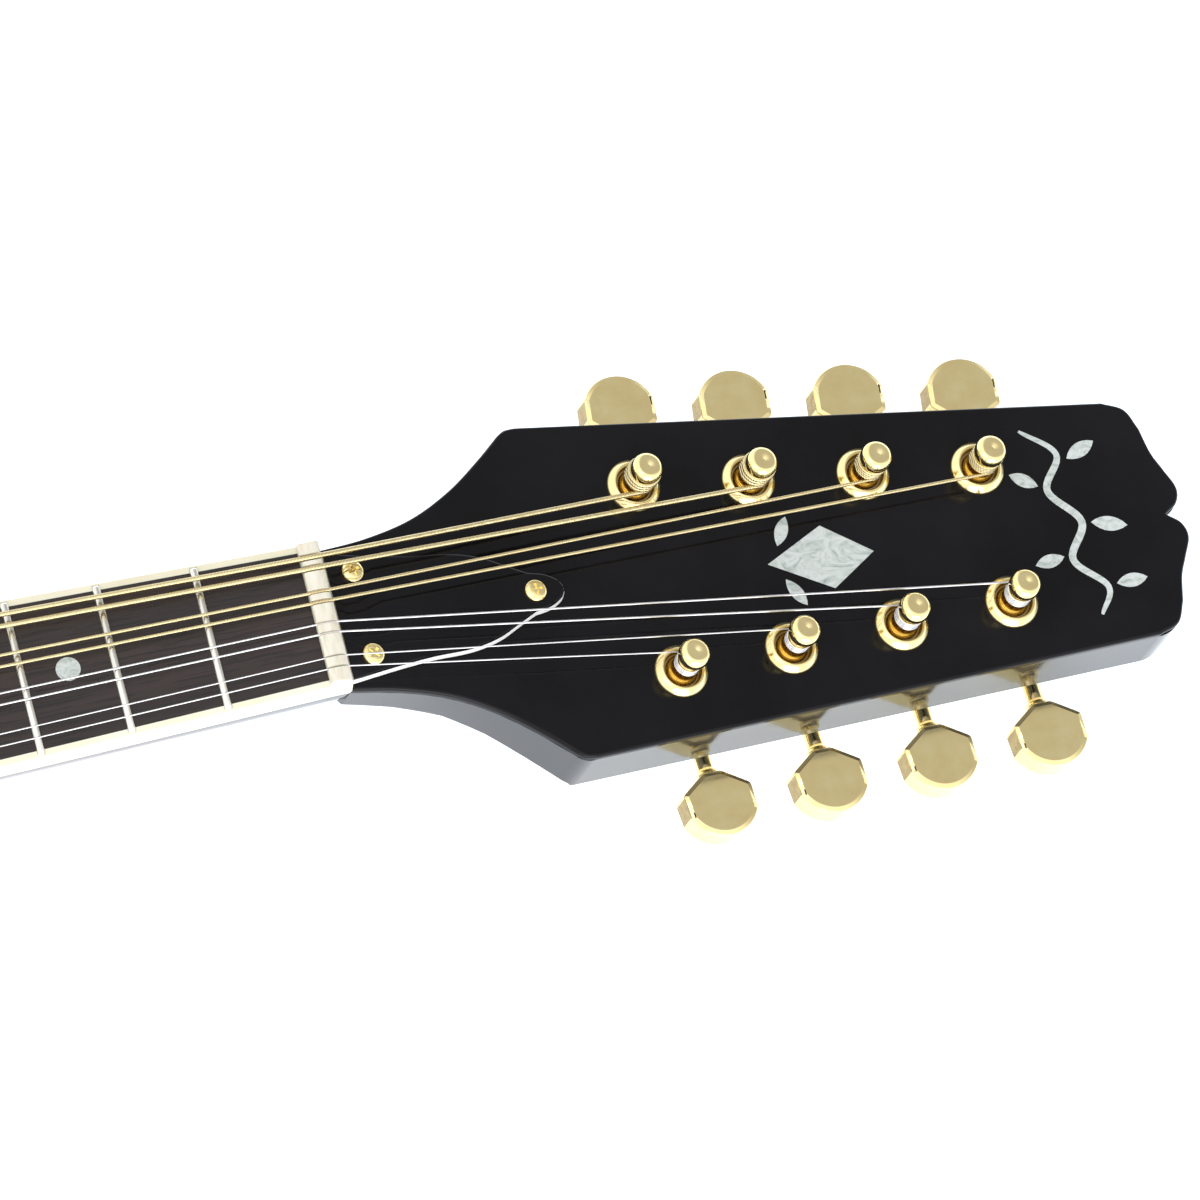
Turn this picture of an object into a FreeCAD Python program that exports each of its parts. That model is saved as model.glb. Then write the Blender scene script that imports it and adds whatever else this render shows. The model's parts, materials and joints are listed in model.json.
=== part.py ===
import FreeCAD, Part
import math
import os
from FreeCAD import Vector

os.makedirs("parts", exist_ok=True)

# Teardrop mandolin with eight strings in four pairs. Lengths are millimetres.
# World frame: +X runs to the headstock, +Y is the bass side, +Z is up.
# The origin is on the flat back, under the line where the strings cross the bridge.

# ---- driving dimensions -------------------------------------------------------
SCALE = 352.4            # nut to bridge
JOINT = SCALE / 2        # the neck meets the body at the twelfth fret
NECK_TILT = 1.2          # neck laid back from the plane of the back
HEAD_ANGLE = 14.0        # headstock laid back from the fingerboard
JOINT_Z = 71.0           # fingerboard surface above the back, at the body joint

CROWN_Z = 64.0           # highest point of the domed top
DOME_R = 2400.0          # radius of the dome
PLATE = 3.0              # top and back thickness
RIM = 2.4                # side thickness
LINING = 5.0             # lining width
LINING_H = 8.0           # lining height
BINDING = 1.5            # body binding width
BOUT_R = 127.0           # lower bout radius
BOUT_X = -43.0           # lower bout centre
SHOULDER = 80.0          # angle where the shoulder arc leaves the lower bout
NECK_FLAT = 24.0         # half width of the flat the heel is glued to

HOLE_X = 78.0            # sound hole centre
HOLE_RX = 19.0
HOLE_RY = 28.5

BOARD_T = 6.0            # fingerboard thickness
BOARD_W = 12.9           # half width of the dark board at the nut
BOARD_TAPER = 0.029      # half width gained per millimetre
BOARD_END = SCALE - 107.0
BOARD_EDGE = 1.3         # fingerboard binding width
NUT_T = 4.3
NUT_TOP = 1.95
FRETS = 20
FRET_W = 1.6
FRET_H = 1.0
FRET_TANG = 0.55
FRET_DEPTH = 1.8

HEAD_T = 14.0            # headstock thickness with its face veneer
VENEER = 1.6
FACE_DROP = 4.6          # headstock face below the fingerboard surface, at the nut
POST_U = 65.1            # first tuner post, along the headstock
POST_V = 18.9            # first tuner post, out from the centre line
POST_PITCH = 22.85       # spacing along the row
ROW_ANGLE = 4.4          # each row leans in toward the tip
POST_R = 3.0
WAIST_R = 2.3
POST_TOP = 10.6
SHAFT_Z = -18.25         # worm shaft below the headstock face
GEAR_TEETH = 14
MODULE = 0.6
GEAR_R = MODULE * GEAR_TEETH / 2
WORM_R = 1.8
CENTRES = GEAR_R + WORM_R
GEAR_T = 2.2
SHAFT_R = 1.6
FIT = 0.05               # radial clearance of every running fit

STRING_R = (0.50, 0.50, 0.33, 0.33, 0.20, 0.20, 0.14, 0.14)
NUT_Y = (11.1, 8.9, 4.15, 2.1)
BRIDGE_Y = (20.2, 17.2, 7.7, 4.7)
TAIL_Y = (15.5, 11.1, 6.7, 2.3)
STRING_LIFT = 4.1        # string above the fingerboard plane, at the bridge
NUT_LIFT = 1.1           # string above the fingerboard plane, at the nut
HOOK_X = -136.0
HOOK_Z = 64.4
WRAPS = 3

UP = Vector(0, 0, 1)
ORIGIN = Vector(0, 0, 0)
SIN_N = math.sin(math.radians(NECK_TILT))
COS_N = math.cos(math.radians(NECK_TILT))
JOINT_X = JOINT * COS_N
NUT_POINT = Vector(SCALE * COS_N, 0, JOINT_Z - JOINT * SIN_N)


# ---- helpers ------------------------------------------------------------------
def placed(shape, tilt, point):
    """Lay a shape back by tilt degrees about Y, then move its origin to point."""
    out = shape.copy()
    out.rotate(ORIGIN, Vector(0, 1, 0), tilt)
    out.translate(point)
    return out


def from_neck(shape):
    """Neck frame to world: x=0 at the nut's playing edge, z=0 on the fingerboard."""
    return placed(shape, NECK_TILT, NUT_POINT)


def neck_point(x, y, z):
    return from_neck(Part.Vertex(x, y, z)).Point


HEAD_POINT = neck_point(NUT_T, 0, -FACE_DROP)


def from_head(shape):
    """Headstock frame to world: x=0 at the nut, z=0 on the headstock face."""
    return placed(shape, NECK_TILT + HEAD_ANGLE, HEAD_POINT)


def head_point(x, y, z):
    return from_head(Part.Vertex(x, y, z)).Point


def box(x0, x1, y0, y1, z0, z1):
    return Part.makeBox(x1 - x0, y1 - y0, z1 - z0, Vector(x0, y0, z0))


def rod(r, start, end):
    along = end - start
    return Part.makeCylinder(r, along.Length, start, along)


def prism(points, z0, z1):
    """Upright prism on a closed polygon of (x, y) corners."""
    ring = [Vector(x, y, z0) for x, y in points]
    return Part.Face(Part.makePolygon(ring + ring[:1])).extrude(UP * (z1 - z0))


def fused(shapes):
    return shapes[0].multiFuse(shapes[1:]) if len(shapes) > 1 else shapes[0]


def mirrored(shape):
    return shape.mirror(ORIGIN, Vector(0, 1, 0))


def spline(points):
    curve = Part.BSplineCurve()
    curve.interpolate([Vector(x, y, 0) for x, y in points])
    return curve.toShape()


def line(a, b):
    return Part.makeLine(Vector(a[0], a[1], 0), Vector(b[0], b[1], 0))


def arc(a, b, c):
    return Part.Arc(Vector(a[0], a[1], 0), Vector(b[0], b[1], 0), Vector(c[0], c[1], 0)).toShape()


def closed_face(edges):
    """Face inside a half outline and its mirror image across the X axis."""
    both = edges + [mirrored(e) for e in edges]
    return Part.Face(Part.Wire(Part.__sortEdges__(both)))


def save(name, shapes):
    """Write one named node; several separate solids go in as one compound."""
    solids = []
    for shape in shapes if isinstance(shapes, list) else [shapes]:
        solids += shape.Solids
    out = solids[0] if len(solids) == 1 else Part.makeCompound(solids)
    out.exportStep("parts/" + name + ".step")
    good = all(s.isValid() for s in solids)
    print(name, len(solids), "solids", round(sum(s.Volume for s in solids), 1), "mm3", good)


# ---- body ---------------------------------------------------------------------
def body_prism(inset, z0, z1):
    """Teardrop outline moved in by inset: one round bout and two shoulder arcs."""
    c = math.cos(math.radians(SHOULDER))
    s = math.sin(math.radians(SHOULDER))
    dx = JOINT_X - BOUT_X
    grow = dx * dx + NECK_FLAT * NECK_FLAT - BOUT_R * BOUT_R
    grow /= 2 * (BOUT_R - dx * c - NECK_FLAT * s)
    cx = BOUT_X - grow * c
    cy = -grow * s
    r1 = BOUT_R - inset
    r2 = BOUT_R + grow - inset
    end_x = JOINT_X - inset
    end_a = math.acos((end_x - cx) / r2)
    mid_a = (end_a + math.radians(SHOULDER)) / 2
    leave = (BOUT_X + r1 * c, r1 * s)
    mid = (cx + r2 * math.cos(mid_a), cy + r2 * math.sin(mid_a))
    end = (end_x, cy + r2 * math.sin(end_a))
    half = [line((end_x, 0), end), arc(end, mid, leave)]
    turn = math.radians(90 + SHOULDER / 2)
    half.append(arc(leave, (BOUT_X + r1 * math.cos(turn), r1 * math.sin(turn)), (BOUT_X - r1, 0)))
    face = closed_face(half)
    face.translate(Vector(0, 0, z0))
    return face.extrude(UP * (z1 - z0))


def dome(depth):
    """Ball whose surface is the top of the body, or a surface depth below it."""
    return Part.makeSphere(DOME_R - depth, Vector(0, 0, CROWN_Z - DOME_R))


def under_dome(shape, upper, lower):
    """Keep the part of a shape between two depths under the top surface."""
    return shape.common(dome(upper)).cut(dome(lower))


def oval(grow, z0, z1):
    centre = Vector(HOLE_X, 0, z0)
    tall = Vector(HOLE_X, HOLE_RY + grow, z0)
    wide = Vector(HOLE_X + HOLE_RX + grow, 0, z0)
    edge = Part.Ellipse(tall, wide, centre).toShape()
    return Part.Face(Part.Wire(edge)).extrude(UP * (z1 - z0))


def rosette():
    rings = []
    for inner, outer in ((3.0, 3.9), (4.9, 8.1), (9.1, 10.0)):
        ring = oval(outer, 50, 80).cut(oval(inner, 50, 80))
        rings.append(under_dome(ring, 0, 1.2))
    return rings


def top_plate(rings):
    plate = under_dome(body_prism(BINDING, 40, 80), 0, PLATE)
    return plate.cut(oval(0, 40, 80)).cut(Part.makeCompound(rings))


def body_sides(holes):
    ring = body_prism(0, PLATE, 80).cut(body_prism(RIM, 0, 90))
    return ring.common(dome(PLATE)).cut(holes)


def body_bindings():
    upper = body_prism(0, 40, 80).cut(body_prism(BINDING, 30, 90))
    lower = body_prism(0, 0, PLATE).cut(body_prism(BINDING, -1, 10))
    return [under_dome(upper, 0, PLATE), lower]


def block(x0, x1, half):
    """Solid block glued between top and back, trimmed to the inside of the sides."""
    return box(x0, x1, -half, half, PLATE, 80).common(body_prism(RIM, 0, 90)).common(dome(PLATE))


def linings(cutters):
    """Strips that widen the glue line of the sides, cleared for blocks and screws."""
    ring = body_prism(RIM, PLATE, 80).cut(body_prism(RIM + LINING, 0, 90))
    lower = ring.common(box(-300, 300, -200, 200, PLATE, PLATE + LINING_H))
    upper = under_dome(ring, PLATE, PLATE + LINING_H)
    return [part.cut(cutters) for part in (lower, upper)]


def braces():
    """Cross bars under the top and on the back, ending at the linings."""
    inside = body_prism(RIM + LINING, 0, 90)
    bars = []
    for x in (-74, 48, 108):
        bar = box(x - 4, x + 4, -150, 150, 30, 80).common(inside)
        bars.append(under_dome(bar, PLATE, PLATE + 9))
    for x in (-96, -10, 80):
        bars.append(box(x - 5, x + 5, -150, 150, PLATE, PLATE + 8).common(inside))
    return bars


# ---- neck and headstock -------------------------------------------------------
def board_half(x):
    """Half width of the bound fingerboard at neck position x (negative to the body)."""
    return BOARD_W + BOARD_EDGE - BOARD_TAPER * x


def neck_section(x, depth):
    w = board_half(x)
    left = Vector(x, w, -BOARD_T)
    right = Vector(x, -w, -BOARD_T)
    low = Part.Arc(left, Vector(x, 0, -BOARD_T - depth), right).toShape()
    return Part.Wire([low, Part.makeLine(right, left)])


def heel_section(z, length, half):
    a = Vector(JOINT_X, half, z)
    b = Vector(JOINT_X, -half, z)
    nose = Part.Arc(a, Vector(JOINT_X + length, 0, z), b).toShape()
    return Part.Wire([nose, Part.makeLine(b, a)])


def heel():
    levels = ((PLATE, 13, 11), (18, 14, 11.6), (36, 19, 13.6), (52, 34, 17))
    return Part.makeLoft([heel_section(*row) for row in levels], True)


def heel_cap():
    return Part.Face(heel_section(0, 13, 11)).extrude(UP * PLATE)


def head_prism(z0, z1):
    """Snake-shaped headstock: flared shoulders, straight taper, notched tip."""
    flare = [(0, 14.2), (10, 15.5), (20, 18.2), (29, 22.9), (36.6, 28.6), (40.9, 32.3)]
    edges = [line((0, 0), flare[0]), spline(flare), arc(flare[-1], (42.6, 33.4), (44.8, 33.6))]
    edges.append(line((44.8, 33.6), (161.4, 23.7)))
    edges.append(arc((161.4, 23.7), (165.6, 21.8), (167.6, 17.6)))
    tip = [(167.6, 17.6), (168.7, 12.6), (170.3, 9.0), (172.0, 5.0), (171.2, 2.0), (168.6, 0)]
    edges.append(spline(tip))
    face = closed_face(edges)
    face.translate(Vector(0, 0, z0))
    return face.extrude(UP * (z1 - z0))


def truss_pocket():
    """Slot in the headstock that gives a wrench room to reach the rod nut."""
    return from_neck(box(NUT_T + 1.5, 25, -4.6, 4.6, -16.6, 10))


COVER_SCREWS = ((5.1, 8.4), (5.1, -8.4), (39.9, 0))
COVER_SCREW_R = 1.2
COVER_SCREW_L = 7.0
COVER_T = 2.0


def cover_screw_bores():
    """Pilot holes for the cover's screws, through the veneer into the neck wood."""
    depth = COVER_SCREW_L - COVER_T
    holes = [Part.makeCylinder(COVER_SCREW_R, depth + 4, Vector(x, y, -depth)) for x, y in COVER_SCREWS]
    return Part.makeCompound([from_head(hole) for hole in holes])


def truss_bore():
    return from_neck(rod(2.5, Vector(-160, 0, -12), Vector(NUT_T + 2, 0, -12)))


THROAT = ((-6, 13.6, 2.0, 9.5), (0, 14.2, 3.0, 9.5), (10, 15.5, 5.0, 8.5), (20, 18.2, 6.6, 7.0),
          (28, 22.4, 8.8, 5.0), (35, 27.3, 11.2, 2.8), (43, 33.6, 13.2, 0.7))


def throat_section(x, half, drop, reach):
    """Corner of wood carved away behind the nut: below drop, and reach in from the side."""
    low = -HEAD_T - 1.0
    outer = half + 3.0
    a = Vector(x, outer, -drop + 0.2)
    b = Vector(x, half - 0.29 * reach, -drop - 0.66 * (HEAD_T - drop))
    c = Vector(x, half - reach, low)
    d = Vector(x, outer, low)
    curve = Part.Arc(a, b, c).toShape()
    return Part.Wire([curve, Part.makeLine(c, d), Part.makeLine(d, a)])


def throat_cuts():
    """Rounding that carries the round neck into the square-edged headstock."""
    side = Part.makeLoft([throat_section(*row) for row in THROAT], True, True)
    return Part.makeCompound([from_head(side), from_head(mirrored(side))])


def neck():
    shaft = Part.makeLoft([neck_section(-JOINT - 5, 18), neck_section(11, 14.4)], True)
    shaft = from_neck(shaft).common(box(JOINT_X, 500, -60, 60, -20, 120))
    above = from_head(box(0, 60, -50, 50, -VENEER, 40))
    back = BOARD_END - 3
    w0 = board_half(-back) - 4
    w1 = board_half(-JOINT) - 4
    riser = prism([(-back, w0), (-back, -w0), (-JOINT + 1, -w1), (-JOINT + 1, w1)], -BOARD_T - 3.4, -BOARD_T)
    head = from_head(head_prism(-HEAD_T, -VENEER)).cut(throat_cuts())
    body = shaft.cut(above).multiFuse([from_neck(riser), heel(), head]).removeSplitter()
    body = body.cut(from_neck(box(-1, NUT_T, -50, 50, -BOARD_T, 10)))
    body = body.cut(truss_pocket()).cut(truss_bore()).cut(post_bores())
    return body.cut(cover_screw_bores()).cut(mount_screw_bores())


def headstock_veneer(pearl):
    sheet = from_head(head_prism(-VENEER, 0))
    sheet = sheet.cut(from_neck(box(-30, NUT_T, -50, 50, -30, 30)))
    sheet = sheet.cut(truss_pocket()).cut(post_bores()).cut(cover_screw_bores())
    return sheet.cut(Part.makeCompound(pearl))


def leaf(x, y, length, width, turn):
    """Pointed oval leaf cut from thin pearl."""
    left = arc((0, 0), (length / 2, width / 2), (length, 0))
    right = arc((0, 0), (length / 2, -width / 2), (length, 0))
    face = Part.Face(Part.Wire([left, right.reversed()]))
    face.rotate(ORIGIN, UP, turn)
    face.translate(Vector(x, y, -0.5))
    return face.extrude(UP * 0.5)


def vine():
    """Flowing stem across the tip of the headstock."""
    path = [(143.5, 20.0), (149.8, 14.5), (146.2, 7.5), (151.4, 0.5), (147.8, -6.8), (153.4, -13), (150.8, -18.4)]
    width = 0.75
    near = spline([(x - width, y) for x, y in path])
    far = spline([(x + width, y) for x, y in path])
    ends = [line((path[i][0] - width, path[i][1]), (path[i][0] + width, path[i][1])) for i in (0, -1)]
    face = Part.Face(Part.Wire(Part.__sortEdges__([near, far] + ends)))
    face.translate(Vector(0, 0, -0.5))
    return face.extrude(UP * 0.5)


def headstock_inlays():
    kite = prism([(87.5, 0), (99.6, 6.4), (109, 0), (99.6, -6.4)], -0.5, 0)
    petals = [leaf(90.3, 3.4, 6.4, 2.6, 62), leaf(90.3, -3.4, 6.4, 2.6, -62)]
    stem = vine()
    leaves = [leaf(151.6, 13.4, 6.8, 2.9, 25), leaf(144.6, 8.6, 6.0, 2.7, 150)]
    leaves += [leaf(153.2, 0.2, 7.2, 3.0, -12), leaf(146.2, -6.0, 6.2, 2.7, 190)]
    leaves += [leaf(155.2, -12.6, 6.4, 2.8, 5)]
    return [from_head(s) for s in [kite] + petals + [stem] + leaves]


def cover_prism(z0, z1, inset):
    """Bell-shaped outline of the truss rod cover."""
    k = inset
    side = [(0.3, 13.2 - k), (9, 11.7 - k), (17, 10.6 - k), (25, 10.0 - k), (31, 8.5 - k), (36, 6.0 - k)]
    side += [(39.4 - 0.3 * k, 4.3 - 0.9 * k), (42.6 - 0.5 * k, 3.5 - 0.8 * k), (45.2 - 0.8 * k, 2.2 - 0.5 * k)]
    side += [(46.3 - k, 0)]
    face = closed_face([line((0.3, 0), side[0]), spline(side[:7]), spline(side[6:])])
    face.translate(Vector(0, 0, z0))
    return face.extrude(UP * (z1 - z0))


def screw(head_r, head_h, shank_r, length):
    """Cross-slotted dome-head screw standing on z=0."""
    ball_r = (head_r * head_r + head_h * head_h) / (2 * head_h)
    cap = Part.makeSphere(ball_r, Vector(0, 0, head_h - ball_r))
    cap = cap.common(box(-head_r, head_r, -head_r, head_r, 0, head_h))
    shank = Part.makeCylinder(shank_r, length, Vector(0, 0, -length))
    slot = head_r * 0.62
    for turn in (0, 90):
        bar = box(-slot, slot, -0.28, 0.28, head_h * 0.35, head_h * 2)
        bar.rotate(ORIGIN, UP, turn)
        cap = cap.cut(bar)
    return cap.fuse(shank)


def truss_rod_cover():
    step = COVER_T / 2
    plate = cover_prism(0, step, 0).fuse(cover_prism(step, COVER_T, 0.6))
    for x, y in COVER_SCREWS:
        plate = plate.cut(Part.makeCylinder(COVER_SCREW_R, 4, Vector(x, y, -1)))
    return from_head(plate)


def truss_cover_screws():
    out = []
    for x, y in COVER_SCREWS:
        part = screw(2.3, 1.2, COVER_SCREW_R, COVER_SCREW_L)
        part.translate(Vector(x, y, COVER_T))
        out.append(from_head(part))
    return out


def truss_rod():
    steel = rod(2.5, Vector(-160, 0, -12), Vector(NUT_T + 2, 0, -12))
    tail = rod(1.6, Vector(NUT_T + 2, 0, -12), Vector(15.5, 0, -12))
    return from_neck(steel.fuse(tail))


def truss_rod_nut():
    barrel = rod(3.4, Vector(8, 0, -12), Vector(18, 0, -12))
    bore = rod(1.6 + FIT, Vector(7, 0, -12), Vector(15.5 + FIT, 0, -12))
    socket = prism([(1.5 * math.cos(i * math.pi / 3), 1.5 * math.sin(i * math.pi / 3)) for i in range(6)], 0, 4)
    socket.rotate(ORIGIN, Vector(0, 1, 0), 90)
    socket.translate(Vector(15, 0, -12))
    return from_neck(barrel.cut(bore).cut(socket))


# ---- fingerboard --------------------------------------------------------------
def fret_x(n):
    return -SCALE * (1 - 2 ** (-n / 12.0))


def board_prism(side, end, z0, z1):
    w0 = board_half(0) - BOARD_EDGE + side
    w1 = board_half(-BOARD_END) - BOARD_EDGE + side
    return prism([(0, w0), (0, -w0), (-BOARD_END - end, -w1), (-BOARD_END - end, w1)], z0, z1)


def frets():
    out = []
    for n in range(1, FRETS + 1):
        x = fret_x(n)
        w = board_half(x) - 0.35
        foot_a = Vector(x - FRET_W / 2, -w, 0)
        foot_b = Vector(x + FRET_W / 2, -w, 0)
        crown = Part.Arc(foot_a, Vector(x, -w, FRET_H), foot_b).toShape()
        face = Part.Face(Part.Wire([crown, Part.makeLine(foot_b, foot_a)]))
        tang_w = w - BOARD_EDGE - 0.4
        tang = box(x - FRET_TANG / 2, x + FRET_TANG / 2, -tang_w, tang_w, -FRET_DEPTH, 0)
        out.append(from_neck(face.extrude(Vector(0, 2 * w, 0)).fuse(tang)))
    return out


def position_dots():
    spots = [(n, 0) for n in (3, 5, 7, 10, 15)] + [(12, 7), (12, -7)]
    out = []
    for n, y in spots:
        x = (fret_x(n) + fret_x(n - 1)) / 2
        out.append(from_neck(Part.makeCylinder(2.35, 1.2, Vector(x, y, -1.2))))
    return out


def fingerboard(cutters):
    return from_neck(board_prism(0, 0, -BOARD_T, 0)).cut(Part.makeCompound(cutters))


def fingerboard_binding():
    outer = board_prism(BOARD_EDGE, 1.5, -BOARD_T, 0)
    return from_neck(outer.cut(board_prism(0, 0, -BOARD_T - 1, 1)))


def nut(strings):
    w = board_half(0)
    corners = [(0, -BOARD_T), (NUT_T, -BOARD_T), (NUT_T, 0.9), (NUT_T - 1.2, NUT_TOP - 0.15), (0.4, NUT_TOP), (0, NUT_TOP)]
    ring = [Vector(x, -w, z) for x, z in corners]
    blank = Part.Face(Part.makePolygon(ring + ring[:1])).extrude(Vector(0, 2 * w, 0))
    return from_neck(blank).cut(Part.makeCompound(strings))


# ---- tuners -------------------------------------------------------------------
def post_at(index):
    """Centre of post index (0 nearest the nut) on the bass side, in the headstock frame."""
    a = math.radians(ROW_ANGLE)
    return POST_U + index * POST_PITCH * math.cos(a), POST_V - index * POST_PITCH * math.sin(a)


def tuner_slot(number):
    """Side (+1 bass, -1 treble) and post index of string number 1 to 8."""
    return (1, number - 1) if number <= 4 else (-1, 8 - number)


def from_tuner(shape, number):
    """Tuner frame to world: x along the row, y out of the edge, z out of the face."""
    side, index = tuner_slot(number)
    x, y = post_at(index)
    out = shape.copy()
    out.rotate(ORIGIN, UP, -ROW_ANGLE)
    out.translate(Vector(x, y, 0))
    return from_head(out if side > 0 else mirrored(out))


def post_bores():
    bore = Part.makeCylinder(4.4, 40, Vector(0, 0, -30))
    return Part.makeCompound([from_tuner(bore, n) for n in range(1, 9)])


def tuner_bushing():
    """Sleeve with a cone-shaped flange, hollowed at its mouth; the post turns inside it."""
    flange = Part.makeCylinder(5.3, 0.5, ORIGIN)
    cone = Part.makeCone(5.3, 4.0, 1.4, Vector(0, 0, 0.5))
    sleeve = Part.makeCylinder(4.4, 10, Vector(0, 0, -10))
    body = flange.fuse(cone).fuse(sleeve)
    body = body.cut(Part.makeCone(POST_R + FIT, 3.6, 1.3, Vector(0, 0, 0.7)))
    return body.cut(Part.makeCylinder(POST_R + FIT, 40, Vector(0, 0, -20)))


def gear():
    """Straight-toothed wheel cut with a small tooth so the slanted thread runs clear."""
    profile = ((3.5, 0.46), (4.2, 0.28), (4.6, 0.17))
    points = []
    for i in range(GEAR_TEETH):
        middle = 2 * math.pi * (i + 0.5) / GEAR_TEETH
        for r, half in profile:
            points.append((r, middle - half / r))
        for r, half in reversed(profile):
            points.append((r, middle + half / r))
    corners = [(r * math.cos(a), r * math.sin(a)) for r, a in points]
    return prism(corners, SHAFT_Z - GEAR_T / 2, SHAFT_Z + GEAR_T / 2)


def tuner_post():
    """Waisted string post, its gear, and the screw that holds the gear on."""
    low = SHAFT_Z + GEAR_T / 2
    outline = [(0, low), (POST_R, low), (POST_R, 2.9), (WAIST_R, 3.5), (WAIST_R, 7.2), (POST_R, 7.9)]
    outline += [(POST_R, POST_TOP - 0.5), (POST_R - 0.5, POST_TOP), (1.5, POST_TOP), (0.9, POST_TOP - 0.5)]
    outline += [(0, POST_TOP - 0.5)]
    ring = [Vector(x, 0, z) for x, z in outline]
    spindle = Part.Face(Part.makePolygon(ring + ring[:1])).revolve(ORIGIN, UP, 360)
    spindle = spindle.cut(rod(0.75, Vector(-5, 0, 5.4), Vector(5, 0, 5.4)))
    cap = screw(2.4, 1.1, 0.8, 0.2)
    cap.rotate(ORIGIN, Vector(1, 0, 0), 180)
    cap.translate(Vector(0, 0, SHAFT_Z - GEAR_T / 2))
    return [spindle, gear().cut(cap), cap]


def thread_ring(angle, centre):
    """Corners of the thread at one angle: two on the core, two on the crest."""
    out = []
    for r, half in ((1.25, -0.38), (2.3, -0.16), (2.3, 0.16), (1.25, 0.38)):
        out.append(Vector(r * math.cos(angle), centre + half, r * math.sin(angle)))
    return out


def worm():
    """Single-start thread on a ten-sided core, in flat facets. Its axis is y."""
    sides = 10
    pitch = math.pi * MODULE
    turns = 3
    rings = []
    for i in range(turns * sides + 1):
        angle = math.pi - 2 * math.pi * (i - turns * sides / 2.0) / sides
        rings.append(thread_ring(angle, pitch * (i - turns * sides / 2.0) / sides))
    faces = [Part.Face(Part.makePolygon(r + r[:1])) for r in (rings[0], rings[-1])]
    for a, b in zip(rings, rings[1:]):
        for j in range(4):
            k = (j + 1) % 4
            faces.append(Part.Face(Part.makePolygon([a[j], a[k], b[k], a[j]])))
            faces.append(Part.Face(Part.makePolygon([a[j], b[k], b[j], a[j]])))
    thread = Part.Solid(Part.Shell(faces))
    if thread.Volume < 0:
        thread.reverse()
    ring = []
    for i in range(sides):
        angle = math.pi + 2 * math.pi * i / sides
        ring.append(Vector(1.25 * math.cos(angle), -3.5, 1.25 * math.sin(angle)))
    core = Part.Face(Part.makePolygon(ring + ring[:1])).extrude(Vector(0, 7, 0))
    return core.fuse(thread)


def worm_shaft():
    """Worm, bearing journals each side of it, and the shaft that carries the button."""
    inner = rod(SHAFT_R, Vector(0, -6.3, 0), Vector(0, -3.5, 0))
    outer = rod(SHAFT_R, Vector(0, 3.5, 0), Vector(0, 19, 0))
    shaft = worm().fuse(inner).fuse(outer)
    shaft.translate(Vector(CENTRES, 0, SHAFT_Z))
    return shaft


def button_ring(z, shrink):
    """Six-sided outline with a round outer end at height z, shrunk about its middle."""
    right = [(1.8, 15.6), (6.95, 19.2), (6.85, 23.9)]
    corners = right + [(0, 28.5)] + [(-x, y) for x, y in reversed(right)]
    p = [(x * shrink, 22 + (y - 22) * shrink) for x, y in corners]
    edges = [line(p[0], p[1]), line(p[1], p[2]), arc(p[2], p[3], p[4])]
    edges += [line(p[4], p[5]), line(p[5], p[6]), line(p[6], p[0])]
    wire = Part.Wire(Part.__sortEdges__(edges))
    wire.translate(Vector(0, 0, z))
    return wire


def button():
    """Button with sloped shoulders, straight sides, a round outer end and bevelled edges."""
    levels = ((-2.95, 0.87), (-2.2, 1), (2.2, 1), (2.95, 0.87))
    grip = Part.makeLoft([button_ring(*row) for row in levels], True, True)
    grip = grip.fuse(rod(2.2, Vector(0, 14.6, 0), Vector(0, 16.4, 0)))
    grip = grip.cut(rod(SHAFT_R, Vector(0, 10, 0), Vector(0, 19, 0)))
    grip.translate(Vector(CENTRES, 0, SHAFT_Z))
    return grip


def bearing_lugs():
    """Two upright lugs that carry one worm shaft."""
    out = []
    for y in (3.9, -5.5):
        lug = box(CENTRES - 2.7, CENTRES + 2.7, y, y + 1.6, SHAFT_Z - 2.7, -HEAD_T - TUNER_PLATE)
        hole = rod(SHAFT_R + FIT, Vector(CENTRES, y - 1, SHAFT_Z), Vector(CENTRES, y + 3, SHAFT_Z))
        out.append(lug.cut(hole))
    return out


MOUNT_X = (-8.6, 14.6, 37.4, 60.3, 80.6)
MOUNT_Y = -5.2
MOUNT_R = 1.1
MOUNT_L = 9.0
TUNER_PLATE = 1.2


def mount_screw_bores():
    """Pilot holes in the back of the headstock for the tuner plates' screws."""
    holes = []
    for first in (1, 8):
        for x in MOUNT_X:
            hole = Part.makeCylinder(MOUNT_R, MOUNT_L, Vector(x, MOUNT_Y, -HEAD_T - TUNER_PLATE))
            holes.append(from_tuner(hole, first))
    return Part.makeCompound(holes)


def tuner_plate(first):
    """Back plate for the four tuners of one side, with its bearing lugs."""
    plate = box(-11.4, 83.4, -7.4, 7.6, -HEAD_T - TUNER_PLATE, -HEAD_T)
    corner = [e for e in plate.Edges if abs(e.tangentAt(0).z) > 0.9]
    plate = plate.makeFillet(3, corner)
    lugs = []
    for i in range(4):
        hole = Part.makeCylinder(POST_R + FIT, 10, Vector(i * POST_PITCH, 0, -20))
        plate = plate.cut(hole)
        for lug in bearing_lugs():
            lug.translate(Vector(i * POST_PITCH, 0, 0))
            lugs.append(lug)
    for x in MOUNT_X:
        plate = plate.cut(Part.makeCylinder(MOUNT_R, 10, Vector(x, MOUNT_Y, -20)))
    return from_tuner(plate.multiFuse(lugs), first)


def tuner_mount_screws():
    out = []
    for first in (1, 8):
        for x in MOUNT_X:
            part = screw(1.9, 0.9, MOUNT_R, MOUNT_L)
            part.rotate(ORIGIN, Vector(1, 0, 0), 180)
            part.translate(Vector(x, MOUNT_Y, -HEAD_T - TUNER_PLATE))
            out.append(from_tuner(part, first))
    return out


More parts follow.
